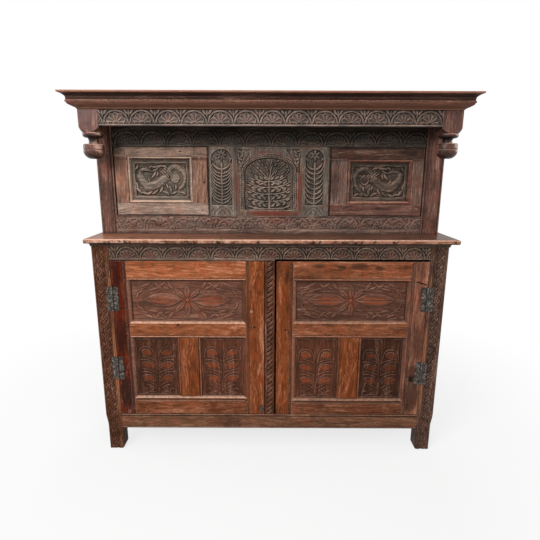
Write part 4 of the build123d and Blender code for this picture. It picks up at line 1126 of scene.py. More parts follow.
def carve_spandrels(relief, near, v):
    """Fill the corners over the arch with leaves."""
    slope = 79 + (SPANDREL_HEAD - v) * 0.54
    triangle = np.maximum.reduce((slope - near, near - 146, v - SPANDREL_HEAD, SPANDREL_FOOT - v))
    foliage = np.full(near.shape, 99.0)
    for lap in range(6):
        x, z = 139 - 3 * lap + 5 * (lap % 2), 296 - 17 * lap
        pair = leaves(near, v, (((x, z), 24 - lap, 7, 70 if lap % 2 else 20),
                                ((x - 19 + 2 * lap, z - 3), 22 - 2 * lap, 6, -50)), 2)
        foliage = np.minimum(foliage, pair)
    relief.ground(triangle, foliage, 3.8, 1.2)
    relief.gouge(np.abs(triangle - 4) + 20 * (v > SPANDREL_HEAD + 2), 2.4, 1.0)


def carve_pearls(relief, u, v):
    """Round the pearls in their channel along the arch."""
    pearls = np.zeros(u.shape)
    for at in arch_outline(PEARL_LINE, PEARLS):
        away = np.hypot(u - at[0], v - at[1])
        pearls = np.maximum(pearls, np.sqrt(np.clip(1 - (away / 4.4) ** 2, 0, 1)))
    band = np.maximum(np.abs(within_arch(u, v, PEARL_LINE)) - 6.0, ARCH_FOOT - v)
    relief.heights = np.where(band < 0, -5.0 * ease(-band / 1.0) + 4.8 * pearls, relief.heights)


def carve_arch_lines(relief, u, v):
    """Cut the lines of the voussoirs, the capitals and the edges."""
    near = np.abs(u)
    lines = [(np.abs(within_arch(u, v, 30.0)) + 30 * (v < 206) + 30 * (v > 276), 2.4, 1.4),
             (np.abs(near - 136) + 30 * (v > 190), 2.2, 1.2)]
    lines += [(np.abs(u - joint) + 30 * (v < 279) + 30 * (v > 307), 2.6, 2.2) for joint in (-53, -4, 53)]
    lines += [(np.abs(v - 279) + 30 * (near > 53), 2.4, 1.8), (np.abs(v - 308), 2.2, 1.4)]
    lines += [(np.abs(v - level) + 30 * (np.abs(near - 134) > 12), 2.6, 1.4) for level in (190, 199)]
    lines += [(np.abs(v - ARCH_FOOT + 5), 2.6, 1.6), (np.abs(v - 3.0), 2.2, 1.2)]
    for away, wide, depth in lines:
        relief.gouge(away, wide, depth)


class CUPBOARD_OT_arcade(bpy.types.Operator):
    """Carve the middle panel: a tree under a pearled arch, with leafy spandrels"""
    bl_idname = "cupboard.arcade"
    bl_label = "Arcade panel"

    def execute(self, context):
        left, right = between_uprights("upper_muntin_left", "upper_muntin_right")
        foot, top = between_rails("upper_sill_rail", "upper_head_rail")
        relief = Relief(right - left, top - foot, 81, fine=True)
        u, v = relief.u - ARCH_MIDDLE, relief.v
        carve_opening(relief, u, v)
        carve_spandrels(relief, np.abs(u), v)
        carve_pearls(relief, u, v)
        carve_arch_lines(relief, u, v)
        relief.tooled(0.3)
        relief.worn(0.8)
        middle = left + ARCH_MIDDLE
        red = spots([(middle + aside, *rest) for aside, *rest in ARCADE_RED])
        finish = oak("arcade_oak", "z", tone_of("arcade"), carved=True, gloss=0.48, rubbed=red)
        carve_timber("carved_arcade", relief, left, foot, "arcade_panel", "upper_panel_oak", finish,
                     grounded=0.6)
        return {"FINISHED"}


# ------------ lower door panels

STAR_PETALS = (((0, 42), 62, 24, 90), ((34, 33), 62, 21, 44))
STAR_CORNERS = (
    ((196, 70), 44, 8, -24), ((206, 55), 40, 7, -20), ((178, 76), 30, 7, -30), ((216, 40), 30, 6, -36),
    ((132, 68), 42, 12, 40), ((112, 76), 34, 8, -38), ((156, 52), 44, 8, -14), ((78, 72), 36, 12, 58),
    ((98, 60), 30, 8, 20), ((228, 22), 26, 6, -70))
STAR_RED = ((-112, 66, 17), (112, 66, 17), (0, 30, 42))  # middle across, half width and half height
LOBE_LEVELS, LOBE_ASIDE = (90, 158, 221), 45  # red lobes of a small panel
LOWER_PANELS = (  # side, seed, share of tone of the wide panel and of the small ones
    ("left", 101, 0.92, {"left": 0.70, "right": 0.95}),
    ("right", 131, 0.66, {"left": 0.98, "right": 0.5}))


def star_and_lozenges(relief):
    """A flower of eight petals between two long split leaves, with gouged sprays in the corners."""
    u, v = relief.u - relief.wide / 2, relief.v - relief.high / 2
    wide, high = np.abs(u), np.abs(v)
    motif = np.minimum.reduce((leaf(wide, v, (112, 3), 178, 62, 0), leaves(wide, high, STAR_PETALS),
                               leaves(wide, high, STAR_CORNERS, 2.0)))
    relief.ground(slab(u, v, (-400, -relief.high / 2 + 5), (400, relief.high / 2 - 5)), motif, 3.2, 1.5)
    relief.gouge(np.abs(v - 1.5) + np.maximum(0, np.abs(wide - 118) - 84), 4.0, 3.0)
    relief.gouge(np.abs(v + 4.0) + np.maximum(0, np.abs(wide - 128) - 74), 2.4, 1.4)
    for at, long, broad, turn in STAR_PETALS:
        relief.gouge(rib(wide, high, at, long, turn), 3.6, 2.0)
    for turn in (18, 30, 58, 72):
        relief.gouge(rib(wide, high, about((0, 0), 30, turn), 40, turn), 2.6, 1.4)
    for at, long, broad, turn in STAR_CORNERS:
        relief.gouge(rib(wide, high, at, long, turn, 2.0) + 9 * (broad < 10), 2.6, 1.2)
    relief.heights += 2.6 * ease(-disc(u, v, (0, 0), 9) / 2.5) * (relief.heights < -0.5)
    relief.gouge(np.abs(np.hypot(u, v) - 10), 2.6, 1.4)


def potted_plant(relief):
    """A stem with pairs of red lobes under double lines and a spade of arcs, over a scrolled pot."""
    middle, squeeze = relief.wide / 2, 0.90
    u, v = (relief.u - middle) * squeeze, relief.v
    near = np.abs(u)
    lines = [(bow((76, 200), (78, 254), (42, 250)), (2.4, 3.2, 2.6)),
             (bow((42, 250), (12, 250), (7, 188)), (2.6, 3.0, 2.2))]
    for outer, inner in ((184, 150), (120, 88)):
        lines.append((bow((62, outer + 19), (32, outer + 12), (5, inner + 30)), (2.2, 3.4, 2.4)))
        lines.append((bow((72, outer), (30, outer + 12), (6, inner)), (2.2, 3.6, 2.4)))
    lines += [(bow((62, 76), (32, 70), (10, 50)), (2.2, 3.4, 2.4)),
              (bow((50, 56), (30, 50), (16, 36)), (2, 2.8, 2)),
              (curl((30, 30), (14, 4), (120, -200)), (3.4, 3.0, 3.8)),
              (bow((12, 12), (34, 22), (62, 9)), (2.4, 3.6, 2.4)),
              (bow((66, 34), (54, 40), (46, 22)), (2.4, 3.4, 2.4))]
    top_lobe = leaf(near, v, (43, 221), 48, 35, 20)
    lobes = leaves(near, v, (((40, 157), 64, 34, 22), ((39, 90), 64, 34, 22)), -3)
    spade = leaf(u, v, (0, 26), 24, 8, 90)
    top_line = np.abs(v - relief.high + 12) - 1.3
    motif = np.minimum.reduce((top_lobe, lobes, spade, top_line, *(stroke(near, v, *line) for line in lines)))
    edge = middle * squeeze - 7
    relief.ground(slab(u, v, (-edge, 7), (edge, relief.high - 6)), motif, 3.0, 1.4)
    relief.gouge(near + np.maximum(0, np.maximum(96 - v, v - 246)) * 4, 5.0, 2.4)
    relief.sink(np.maximum(near - (v - 76) * 0.45, v - 94), 2.4, 1.2)


def wide_panel(side, seed, share):
    """The wide panel of a lower door."""
    trim = GROOVE - IN_GROOVE
    node = f"lower_{side}_door_wide_panel"
    low, high = millimetres(node)
    relief = Relief(high.x - low.x - 2 * trim, high.z - low.z - 2 * trim, seed, fine=True)
    star_and_lozenges(relief)
    relief.tooled()
    middle = (low.x + high.x) / 2
    red = spots([(middle + across, 770, wide, high, 0.9) for across, wide, high in STAR_RED])
    finish = oak(f"{side}_wide_panel_oak", "x", shaded(tone_of("wide_panel"), share), carved=True, gloss=0.4,
                 wax=shaded(tone_of("panel_ground"), share), wear=0.34, dirt=1.1, rubbed=red,
                 red=tone_of("lobe_red"))
    carve(f"carved_{node}", relief, (low.x + trim, low.y, low.z + trim),
          feathered_back(relief.wide, relief.high), f"lower_{side}_door", "door_panel_oak", finish, node,
          grounded=0.75, edges=PANEL_SHADOW)


def small_panels(side, seed, shares):
    """The two upright panels of a lower door, either side of its muntin."""
    trim = GROOVE - IN_GROOVE
    body = f"lower_{side}_door"
    node = f"{body}_small_panels"
    low, high = millimetres(node)
    muntin_low, muntin_high = millimetres(f"{body}_muntin")
    spans = {"left": (low.x + trim, muntin_low.x + IN_GROOVE),
             "right": (muntin_high.x - IN_GROOVE, high.x - trim)}
    for place, (start, end) in spans.items():
        share = shares[place]
        red = spots([((start + end) / 2 + across, low.z + trim + level, 27, 12, 0.85)
                     for level in LOBE_LEVELS for across in (-LOBE_ASIDE, LOBE_ASIDE)])
        finish = oak(f"{side}_door_{place}_small_panel_oak", "z", shaded(tone_of("small_panel"), share),
                     carved=True, gloss=0.36, wax=shaded(tone_of("panel_ground"), 0.62 * share), wear=0.42,
                     rubbed=red, red=shaded(tone_of("lobe_red"), share))
        relief = Relief(end - start, high.z - low.z - 2 * trim, seed + 10 + round(start) % 7, fine=True)
        potted_plant(relief)
        relief.tooled()
        carve(f"carved_{body}_small_panel_{place}", relief, (start, low.y, low.z + trim),
              feathered_back(relief.wide, relief.high), body, "door_panel_oak", finish, node,
              grounded=0.85, edges=PANEL_SHADOW)


class CUPBOARD_OT_lower_panels(bpy.types.Operator):
    """Carve the wide and the small panels of both lower doors"""
    bl_idname = "cupboard.lower_panels"
    bl_label = "Lower door panels"

    def execute(self, context):
        for side, seed, wide_share, small_shares in LOWER_PANELS:
            wide_panel(side, seed, wide_share)
            small_panels(side, seed, small_shares)
        return {"FINISHED"}


# ------------ upper door panels

BEAST_SET = 10.5  # face of a beast panel, behind the ridge of its strips
BORDER = 33.0  # flat border of a beast panel, from its edge in the groove
# painted shadow of the frame and strips along the left, right, foot and head of a beast panel
BEAST_SHADOW = (26.0, 34.0, 26.0, 34.0)
STRIP_SECTION = (  # inward from the sight edge, and behind the ridge
    (0.0, 10.5), (0.0, 4.8), (2.4, 4.8), (2.8, 1.0), (4.2, 0.2), (6.4, 0.0), (8.8, 0.4), (10.8, 1.8),
    (13.4, 9.0), (15.0, 9.8), (15.0, 10.5))
WING_BARS, BAR_STEP = 4, (8, 6)
BEAST_SPRAYS = (  # leaves round the beast: middle, length, width and turn
    ((-112, -26), 34, 8, 100), ((-104, -50), 36, 10, 130), ((-82, -60), 34, 9, 170),
    ((-56, -62), 34, 10, 20), ((-28, -56), 38, 9, 40), ((0, -44), 34, 9, 62), ((22, -58), 36, 9, 150),
    ((10, -22), 26, 7, 30), ((44, -44), 34, 10, 100), ((58, -60), 30, 8, 20), ((100, -58), 28, 8, 160),
    ((-16, 60), 50, 9, 8), ((-24, 44), 36, 8, 30), ((-30, 22), 40, 9, 54), ((-14, 26), 26, 7, 80),
    ((18, 62), 28, 7, 164), ((106, 54), 24, 8, 130), ((-108, 56), 26, 8, 60), ((30, -30), 26, 7, 110),
    ((70, -34), 22, 8, 80))
VEINED = slice(3, 12)  # the sprays that have a vein


def through(u, v, curves, widths):
    """Distance outside a line that runs through several curves."""
    return stroke(u, v, np.concatenate([bow(*curve) for curve in curves]), widths)


def winged_beast(relief):
    """A winged beast with a striped wing and a curled tail, among leaves, in a line border."""
    u, v = relief.u - relief.wide / 2, relief.v - relief.high / 2
    body = through(u, v, (((-96, 36), (-102, 0), (-64, -26)), ((-64, -26), (-30, -36), (4, -6)),
                          ((4, -6), (14, 6), (28, 14))), (20, 44, 34))
    tail = through(u, v, (((38, 42), (56, 66), (84, 54)), ((84, 54), (120, 40), (111, -4)),
                          ((111, -4), (104, -30), (86, -38))), (26, 24, 12))
    jaws = np.minimum(stroke(u, v, bow((-106, 32), (-84, 58), (-44, 40)), (6, 13, 5)),
                      stroke(u, v, bow((-58, 8), (-52, -16), (-26, -18)), (3, 5, 3)))
    teeth = leaves(u, v, (((-66, 52), 22, 7, 60), ((-48, 58), 24, 7, 40)))
    medal = disc(u, v, (66, 8), 20)
    shoulder = stroke(u, v, bow((11, 47), (26, 33), (39, 17)), (26, 32, 26))
    wing = []
    for bar in range(WING_BARS):
        aside, down = bar * BAR_STEP[0], bar * BAR_STEP[1]
        line = bow((25 - aside, 57 - down), (43 - aside, 46 - down), (52 - aside, 25 - down))
        wing.append(stroke(u, v, line, (3.6, 5.2, 4)))
    round_parts = np.minimum(body, tail)
    motif = np.minimum.reduce((np.maximum(round_parts, -shoulder), jaws, teeth, medal, *wing,
                               leaves(u, v, BEAST_SPRAYS, 3)))
    half, tall = relief.wide / 2 - BORDER, relief.high / 2 - BORDER
    relief.ground(slab(u, v, (-half, -tall), (half, tall)), motif, 5.6, 1.4)
    relief.gouge(np.abs(slab(u, v, (-half - 4, -tall - 4), (half + 4, tall + 4))), 2.2, 1.2)
    relief.heights -= 3.0 * ease(1 + round_parts / 11) * (round_parts < 0)
    relief.sink(medal, 3.2, 4.0)
    for outline in (jaws, tail, body):
        relief.gouge(np.abs(outline + 3.2), 1.8, 0.8)
    relief.gouge(np.abs(disc(u, v, (-92, 36), 2.6)), 2.2, 1.4)
    for at, long, wide, turn in BEAST_SPRAYS[VEINED]:
        relief.gouge(rib(u, v, at, long * 0.8, turn, 3), 2.2, 1.0)


def moulding_strips(name, low, high, face):
    """Four mitred strips with a rounded outer edge and a long slope inwards, as one closed ring."""
    build = bmesh.new()
    rings = []
    for inward, depth in STRIP_SECTION:
        y = (face + depth) * MM
        rings.append([build.verts.new((x * MM, y, z * MM)) for x, z in (
            (low[0] + inward, low[1] + inward), (high[0] - inward, low[1] + inward),
            (high[0] - inward, high[1] - inward), (low[0] + inward, high[1] - inward))])
    rings.append(rings[0])
    for outer, inner in zip(rings[:-1], rings[1:]):
        for corner in range(4):
            after = (corner + 1) % 4
            build.faces.new((outer[corner], outer[after], inner[after], inner[corner]))
    bmesh.ops.recalc_face_normals(build, faces=build.faces)
    mesh = bpy.data.meshes.new(name)
    build.to_mesh(mesh)
    build.free()
    return mesh


class CUPBOARD_OT_beast_panels(bpy.types.Operator):
    """Carve the beasts of the upper doors and lay the moulding strips round them"""
    bl_idname = "cupboard.beast_panels"
    bl_label = "Beast panels"

    def execute(self, context):
        trim = GROOVE - IN_GROOVE
        # the last value is the strength of the painted highlight and shade on the slopes of the strips
        for side, seed, flip, ledge in (("left", 151, False, 1.0), ("right", 161, True, 0.6)):
            body = f"upper_{side}_door"
            node = f"{body}_panel"
            low, high = millimetres(node)
            relief = Relief(high.x - low.x - 2 * trim, high.z - low.z - 2 * trim, seed, fine=True, flip=flip)
            winged_beast(relief)
            relief.tooled(0.3)
            finish = oak(f"{side}_beast_oak", "x", tone_of(f"{side}_beast"), carved=True)
            carve(f"carved_{node}", relief, (low.x + trim, low.y + BEAST_SET, low.z + trim),
                  feathered_back(relief.wide, relief.high), body, "upper_panel_oak", finish, node,
                  grounded=0.80, edges=BEAST_SHADOW)
            strips = moulding_strips(f"{body}_strips", (low.x + GROOVE, low.z + GROOVE),
                                     (high.x - GROOVE, high.z - GROOVE), low.y)
            finish = oak(f"{body}_strip_oak", "x", tone_of(f"{side}_strips"), dirt=1.1, ledge=ledge)
            put(f"{body}_strips", strips, body, [finish], [node])
        return {"FINISHED"}


# ------------ plain joinery

def islands(mesh):
    """The number of the loose part that each face belongs to, seams in the normals ignored."""
    count = len(mesh.vertices)
    points = np.empty(count * 3)
    mesh.vertices.foreach_get("co", points)
    points = points.reshape(-1, 3)
    _, same = np.unique(np.round(points / (20 * MM * MM)), axis=0, return_inverse=True)
    same = same.ravel()
    starts = np.empty(len(mesh.polygons), int)
    mesh.polygons.foreach_get("loop_start", starts)
    corner = np.empty(len(mesh.loops), int)
    mesh.loops.foreach_get("vertex_index", corner)
    face = np.repeat(np.arange(len(starts)), np.diff(np.append(starts, len(corner))))
    spot = same[corner]
    label = np.arange(len(starts))
    for _ in range(400):
        lowest = np.full(same.max() + 1, len(starts))
        np.minimum.at(lowest, spot, label[face])
        updated = label.copy()
        np.minimum.at(updated, face, lowest[spot])
        if np.array_equal(updated, label):
            break
        label = updated
    return label, points, corner, face


def dress(node, slot, name, body, **how):
    """Finish a node, its grain along the longest side of each of its pieces of wood."""
    dress_each(node, lambda low, high: (name, body, how))


def dress_each(node, choose):
    """Finish each piece of wood of a node; choose(low, high) gives its finish's name, tint and settings."""
    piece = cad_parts[node]
    mesh = piece.data
    mesh.materials.clear()
    label, points, corner, face = islands(mesh)
    chosen = np.zeros(len(mesh.polygons), np.int32)
    given = []
    for number in np.unique(label):
        mine = points[corner[label[face] == number]]
        low, high = mine.min(0) / MM, mine.max(0) / MM
        name, body, how = choose(low, high)
        finish = oak(name, "xyz"[int(np.argmax(high - low))], body, **how)
        if finish not in given:
            given.append(finish)
            mesh.materials.append(finish)
        chosen[label == number] = given.index(finish)
    mesh.polygons.foreach_set("material_index", chosen)
    mesh.update()


def lying_boards(axis, span, count):
    """Dust and stains on boards that lie edge to edge, each of its own tone and dark at the joints."""
    def laid(wood, place):
        along = wood.part(place, axis)
        boards = (along - span[0] * MM) * (count / (span[1] - span[0]) / MM)
        number = wood.node("ShaderNodeMath", {"operation": "FLOOR"}, {0: boards})
        within = wood.node("ShaderNodeMath", {"operation": "PINGPONG"}, {0: boards, 1: 0.5})
        tone = wood.node("ShaderNodeMath", {"operation": "SINE"}, {0: number * 2.4 + 1.0})
        joint = within.under(0.008, 0.018)
        return wood.noise(place, 4.0, 5.0, 0.7).over(0.52, 0.66) * 0.3 + (tone * 0.22 + 0.22) + joint
    return laid


class CUPBOARD_OT_carcase(bpy.types.Operator):
    """Finish the plain timber of both stages, inside and out"""
    bl_idname = "cupboard.carcase"
    bl_label = "Plain timber"

    def execute(self, context):
        plain = tone_of("plain")
        for node in ("lower_end_frame_left", "lower_end_frame_right", "lower_end_panels_left",
                     "lower_end_panels_right", "bed_mould"):
            dress(node, "lower_carcase_oak", "lower_end_oak", tone_of("lower_carcase"), dirt=1.1)
        dress("lower_bottom_rail", "lower_carcase_oak", "bottom_rail_oak", tone_of("bottom_rail"), ledge=0.3)
        for node in ("upper_stile_left", "upper_stile_right", "upper_end_rails_left", "upper_end_rails_right",
                     "upper_end_panel_left", "upper_end_panel_right"):
            dress(node, "upper_carcase_oak", "upper_oak", tone_of("upper_carcase"))
        for node in ("rear_post_left", "rear_post_right", "rear_rails", "soffit_board"):
            dress(node, "plain_oak", "plain_oak", plain, gloss=0.62, wear=0.5)
        for node, axis, count in (("back_boards", X, 6), ("floor_boards", X, 6), ("top_boards", Y, 3)):
            low, high = millimetres(node)
            dress(node, "plain_oak", node, shaded(plain, 1.35), gloss=0.62, wear=0.8,
                  marks=lying_boards(axis, (low[axis], high[axis]), count))
        return {"FINISHED"}


# Levels and depths in metres between which a tone sets in.
NOSE_WEAR, NOSE_BARE = (-0.262, -0.250), (-0.263, -0.256)
# along the shelf, where its top darkens as painted falloff and where the painted highlight on its nose fades
SHELF_FALLOFF, SHELF_HIGHLIGHT_FADE = (-0.55, 0.35), (-0.45, 0.35)
CORNICE_LOW, CORNICE_NOSE, CORNICE_FILLET = (1.618, 1.626), (1.628, 1.635), (1.656, 1.661)
COVE_FOOT, COVE_HEAD = (1.632, 1.637), (1.655, 1.661)
BOWL, NECK, BLOCK_FOOT, BLOCK = (1.404, 1.426), (1.462, 1.472), (1.500, 1.508), (1.512, 1.526)


def shelf_wear_and_falloff(wood, place):
    """The rings and spills of long use, the nicks along the nose, and a painted falloff that darkens the
    right half.
    """
    front = 1.0 - wood.part(place, Y).over(*NOSE_WEAR)
    nicks = wood.noise(place, 34.0, 5.0, 0.75).over(0.53, 0.60) * front
    along = wood.part(place, X)
    # painted falloff: the top darker towards the right
    darker = (along + wood.noise(place, 5.0) * 0.3).over(*SHELF_FALLOFF) * (1.0 - front) * 0.58
    return wood.noise(place, 21.0, 4.0, 0.6).over(0.60, 0.70) * 0.4 + nicks * 0.9 + darker


def nose_wear_and_highlight(wood, place):
    """Wood rubbed bare along the nose of the shelf, with a painted highlight, most towards its left end."""
    front = 1.0 - wood.part(place, Y).over(*NOSE_BARE)
    along = wood.part(place, X)
    rubbed = wood.noise(place, 26.0, 4.0, 0.7).over(0.42, 0.62)
    return front * rubbed * (1.15 - along.over(*SHELF_HIGHLIGHT_FADE) * 0.85)


class CUPBOARD_OT_shelf(bpy.types.Operator):
    """Finish the oiled shelf with its rubbed nose and the painted highlight along it"""
    bl_idname = "cupboard.shelf"
    bl_label = "Shelf"

    def execute(self, context):
        dress("shelf_boards", "shelf_oak", "shelf_oak", tone_of("shelf"), gloss=0.26, wear=1.6, ledge=1.0,
              marks=shelf_wear_and_falloff, rubbed=nose_wear_and_highlight, red=tone_of("nose_wear_and_highlight"))
        return {"FINISHED"}


def cornice_foot(wood, place):
    """The members of the cornice up to its nose, and its top fillet, where the red wood shows."""
    level = wood.part(place, Z)
    lower = level.under(*CORNICE_LOW) * 0.6 + level.under(*CORNICE_NOSE) * 0.35
    return lower + level.over(*CORNICE_FILLET)


def cornice_cove_shadow(wood, place):
    """Painted shadow in the cove of the cornice, under its top fillet."""
    level = wood.part(place, Z)
    ragged = wood.noise(place, 9.0, 4.0, 0.7) * 0.35 + 0.38
    return level.over(*COVE_FOOT) * level.under(*COVE_HEAD) * ragged


def pendant_shade(wood, place):
    """Painted shade round the disc and the neck of a pendant, and under its bowl."""
    level = wood.part(place, Z)
    under_block = level.over(*NECK) * level.under(*BLOCK_FOOT) * 0.8
    return under_block + level.under(*BOWL) * 0.5 + level.over(*BLOCK) * 0.24


class CUPBOARD_OT_canopy(bpy.types.Operator):
    """Finish the cornice, the corner posts with their pendants and the end rails of the canopy"""
    bl_idname = "cupboard.canopy"
    bl_label = "Canopy"

    def execute(self, context):
        for node in ("cornice_front", "cornice_left", "cornice_right"):
            # painted shadow in the cove of the cornice
            dress(node, "cornice_oak", "cornice_oak", tone_of("cornice"), gloss=0.34, wear=1.4, ledge=0.6,
                  rubbed=cornice_foot, red=tone_of("cornice_foot"), marks=cornice_cove_shadow)
        # painted shade under the block and the bowl, and a darker copy for the right pendant as painted
        # falloff
        for side, share in (("left", 1.0), ("right", 0.9)):
            dress(f"corner_pendant_{side}", "pendant_oak", f"{side}_pendant_oak",
                  shaded(tone_of("pendant"), share), gloss=0.24, ledge=0.8, shine=3.0, marks=pendant_shade)
        for node in ("canopy_bearer_left", "canopy_bearer_right"):
            dress(node, "frieze_oak", "bearer_oak", tone_of("frieze"))
        return {"FINISHED"}


# Stains, knots, cracks and holes of the doors, and on the upper doors dark bands along their edges and under
# their top rails: middle, half width and half height, and strength.
LOWER_FRAME_MARKS = {
    "left": ((-700, 935, 18, 34, 0.5), (-700, 850, 18, 60, 0.45), (-704, 438, 22, 42, 0.8),
             (-690, 600, 30, 100, 0.5), (-690, 300, 30, 100, 0.75), (-691, 735, 13, 4, 1.0),
             (-668, 736, 10, 3, 1.0), (-72, 644, 6, 6, 1.0), (-428, 654, 9, 7, 0.8),
             (-560, 250, 30, 10, 0.3)),
    "right": ((676, 863, 13, 4, 1.0), (692, 857, 13, 4, 1.0), (708, 852, 10, 4, 1.0), (698, 800, 18, 48, 0.4),
              (680, 415, 34, 50, 0.7), (684, 560, 46, 110, 0.5), (684, 300, 46, 100, 0.7),
              (325, 929, 22, 14, 0.6), (405, 936, 44, 17, 0.65), (492, 927, 20, 12, 0.6),
              (225, 937, 26, 10, 0.5), (73, 631, 6, 6, 1.0), (600, 640, 60, 12, 0.4)),
}
UPPER_FRAME_MARKS = {
    "left": ((-414, 1439, 7, 4, 0.9), (-308, 1300, 5, 4, 0.9), (-700, 1444, 26, 20, 0.5),
             (-500, 1465, 330, 10, 1.0), (-285, 1310, 10, 240, 1.0), (-500, 1147, 330, 7, 1.0),
             (-490, 1406, 230, 9, 0.8), (-670, 1436, 2.2, 24, 0.7), (-350, 1436, 2.2, 24, 0.6)),
    "right": ((276, 1300, 7, 240, 1.0), (500, 1147, 330, 6, 0.9), (500, 1459, 330, 9, 0.8),
              (500, 1402, 230, 8, 0.6), (640, 1440, 60, 16, 0.5), (300, 1290, 26, 70, 0.4),
              (346, 1440, 2.2, 24, 0.6), (668, 1170, 2.2, 22, 0.6)),
}

# How far each piece of a door frame is lighter or darker than its door's tone.
LOWER_RAIL_SHARES = {
    "left": {"foot": 0.64, "middle": 0.84, "top": 1.0},
    "right": {"foot": 0.64, "middle": 1.1, "top": 1.0},
}
# strength of the painted highlight and shade on the slopes of each lower door
LOWER_PAINTED_SLOPE_LIGHT = {"left": 0.90, "right": 0.45}
RAIL_TOPS = (400, 750)  # over the foot rail and over the middle rail of a lower door
HINGE_SIDE, UPPER_INNER = 600, 400  # a hinge stile reaches further out, an upper inner stile starts nearer
UPPER_FOOT = 1300  # over the foot rail of an upper door
UPPER_FRAME_TONES = {  # red, green and blue
    "left": {"top": (1.05, 1.18, 1.2), "foot": (1.12, 1.34, 1.42),
             "inner": (0.95, 0.86, 0.80), "outer": (0.95, 0.86, 0.80)},
    "right": {"top": (0.70, 0.70, 0.66), "foot": (1.2, 1.12, 1.12),
              "inner": (1.35, 1.66, 1.78), "outer": (1.3, 1.40, 1.42)},
}


def lower_timbers(side):
    """What finishes a rail and a stile of a lower door, told from where they are."""
    marks = spots(LOWER_FRAME_MARKS[side])

    def rail(low, high):
        level = ("foot", "middle", "top")[sum(high[Z] > limit for limit in RAIL_TOPS)]
        tone = shaded(tone_of(f"lower_{side}_door"), LOWER_RAIL_SHARES[side][level])
        return f"{side}_{level}_rail_oak", tone, dict(
            gloss=0.36, ledge=LOWER_PAINTED_SLOPE_LIGHT[side], marks=marks, face=low[Y])

    def stile(low, high):
        if max(abs(low[X]), abs(high[X])) > HINGE_SIDE:
            return f"{side}_hinge_stile_oak", tone_of(f"{side}_hinge_stile"), dict(
                gloss=0.34, marks=marks, ledge=0.8, face=low[Y], shine=0.7)
        return f"{side}_lock_stile_oak", tone_of("lock_stile"), dict(
            gloss=0.32, wear=1.2, marks=marks, ledge=0.8, face=low[Y])

    return {"rails": rail, "stiles": stile}


def upper_timber(side):
    """What finishes a rail or a stile of an upper door, told from where it is."""
    marks = spots(UPPER_FRAME_MARKS[side])

    def timber(low, high):
        if high[Z] - low[Z] > high[X] - low[X]:
            place = "inner" if min(abs(low[X]), abs(high[X])) < UPPER_INNER else "outer"
        else:
            place = "foot" if high[Z] < UPPER_FOOT else "top"
        tone = [channel * share for channel, share in
                zip(tone_of(f"upper_{side}_door"), UPPER_FRAME_TONES[side][place])]
        return f"upper_{side}_{place}_oak", (*tone, 1.0), dict(dirt=1.1, marks=marks)

    return timber


class CUPBOARD_OT_door_frames(bpy.types.Operator):
    """Finish the frames of all four doors"""
    bl_idname = "cupboard.door_frames"
    bl_label = "Door frames"

    def execute(self, context):
        for side in ("left", "right"):
            for part, choose in lower_timbers(side).items():
                dress_each(f"lower_{side}_door_{part}", choose)
            face = millimetres(f"lower_{side}_door_muntin")[0].y
            dress(f"lower_{side}_door_muntin", "lower_door_oak", "door_muntin_oak", tone_of("lock_stile"),
                  gloss=0.36, face=face)
            for part in ("rails", "stiles"):
                dress_each(f"upper_{side}_door_{part}", upper_timber(side))
        return {"FINISHED"}


# ------------ ironwork and pegs

def studs(name, places, radius, proud, sides=12, seed=5):
    """Low domed heads, each a little different, with a short shank into what is behind them."""
    draw = np.random.default_rng(seed)
    build = bmesh.new()
    for x, y, z in places:
        size = radius * draw.uniform(0.85, 1.12)
        start = draw.uniform(0, math.pi)
        levels = ((0.94, 2.0), (1.0, 0.0), (0.88, -proud * 0.55), (0.52, -proud * 0.92))
        rings = []
        for share_out, depth in levels:
            ring = []
            for side in range(sides):
                angle = start + 2 * math.pi * side / sides
                reach = size * share_out * draw.uniform(0.96, 1.04)
                ring.append(build.verts.new(((x + reach * math.cos(angle)) * MM, (y + depth) * MM,
                                             (z + reach * math.sin(angle)) * MM)))
            rings.append(ring)
        crown = build.verts.new((x * MM, (y - proud) * MM, z * MM))
        for outer, inner in zip(rings[:-1], rings[1:]):
            for side in range(sides):
                after = (side + 1) % sides
                build.faces.new((outer[side], outer[after], inner[after], inner[side]))
        for side in range(sides):
            build.faces.new((rings[-1][side], rings[-1][(side + 1) % sides], crown))
        build.faces.new(rings[0])
    bmesh.ops.recalc_face_normals(build, faces=build.faces)
    for face in build.faces:
        face.smooth = len(face.verts) < sides
    mesh = bpy.data.meshes.new(name)
    build.to_mesh(mesh)
    build.free()
    return mesh


HINGE_MIDDLES = {-1: (436.0, 779.0), 1: (414.0, 781.0)}  # levels of the left and the right hinges
LEAF_THICK, NAIL_MARGIN = 2.5, 9
NAIL_STEPS = (-46, -8, 8, 46)  # nails of a leaf, from the middle of its hinge
NAIL, PEG, SMALL_PEG = (4.2, 2.0), (3.8, 0.8), (3.4, 0.7)  # radius, and how far it stands proud
PEG_SIDES = 9
LOCK_PEG, HINGE_PEG = 64, 56  # pegs of a lower door's stiles, from its lock edge and from its hinge edge
UPPER_PEG = (34, 27)  # pegs of an upper door, from its side and from its foot or head
SIDES = (("left", -1), ("right", 1))
IRONS = ("hinge_post_leaves", "hinge_pins", "upper_door_pivots", "lower_left_door_hinge_leaves",
         "lower_right_door_hinge_leaves", "turn_button", "turn_button_nail")
PEG_LEVELS = {"left": ((222.0, 266.0), (610.0, 652.0), (888.0, 936.0)),
              "right": ((218.0, 258.0), (612.0, 656.0), (888.0, 936.0))}
LOCK_PLUG = (-85.0, 720.0)


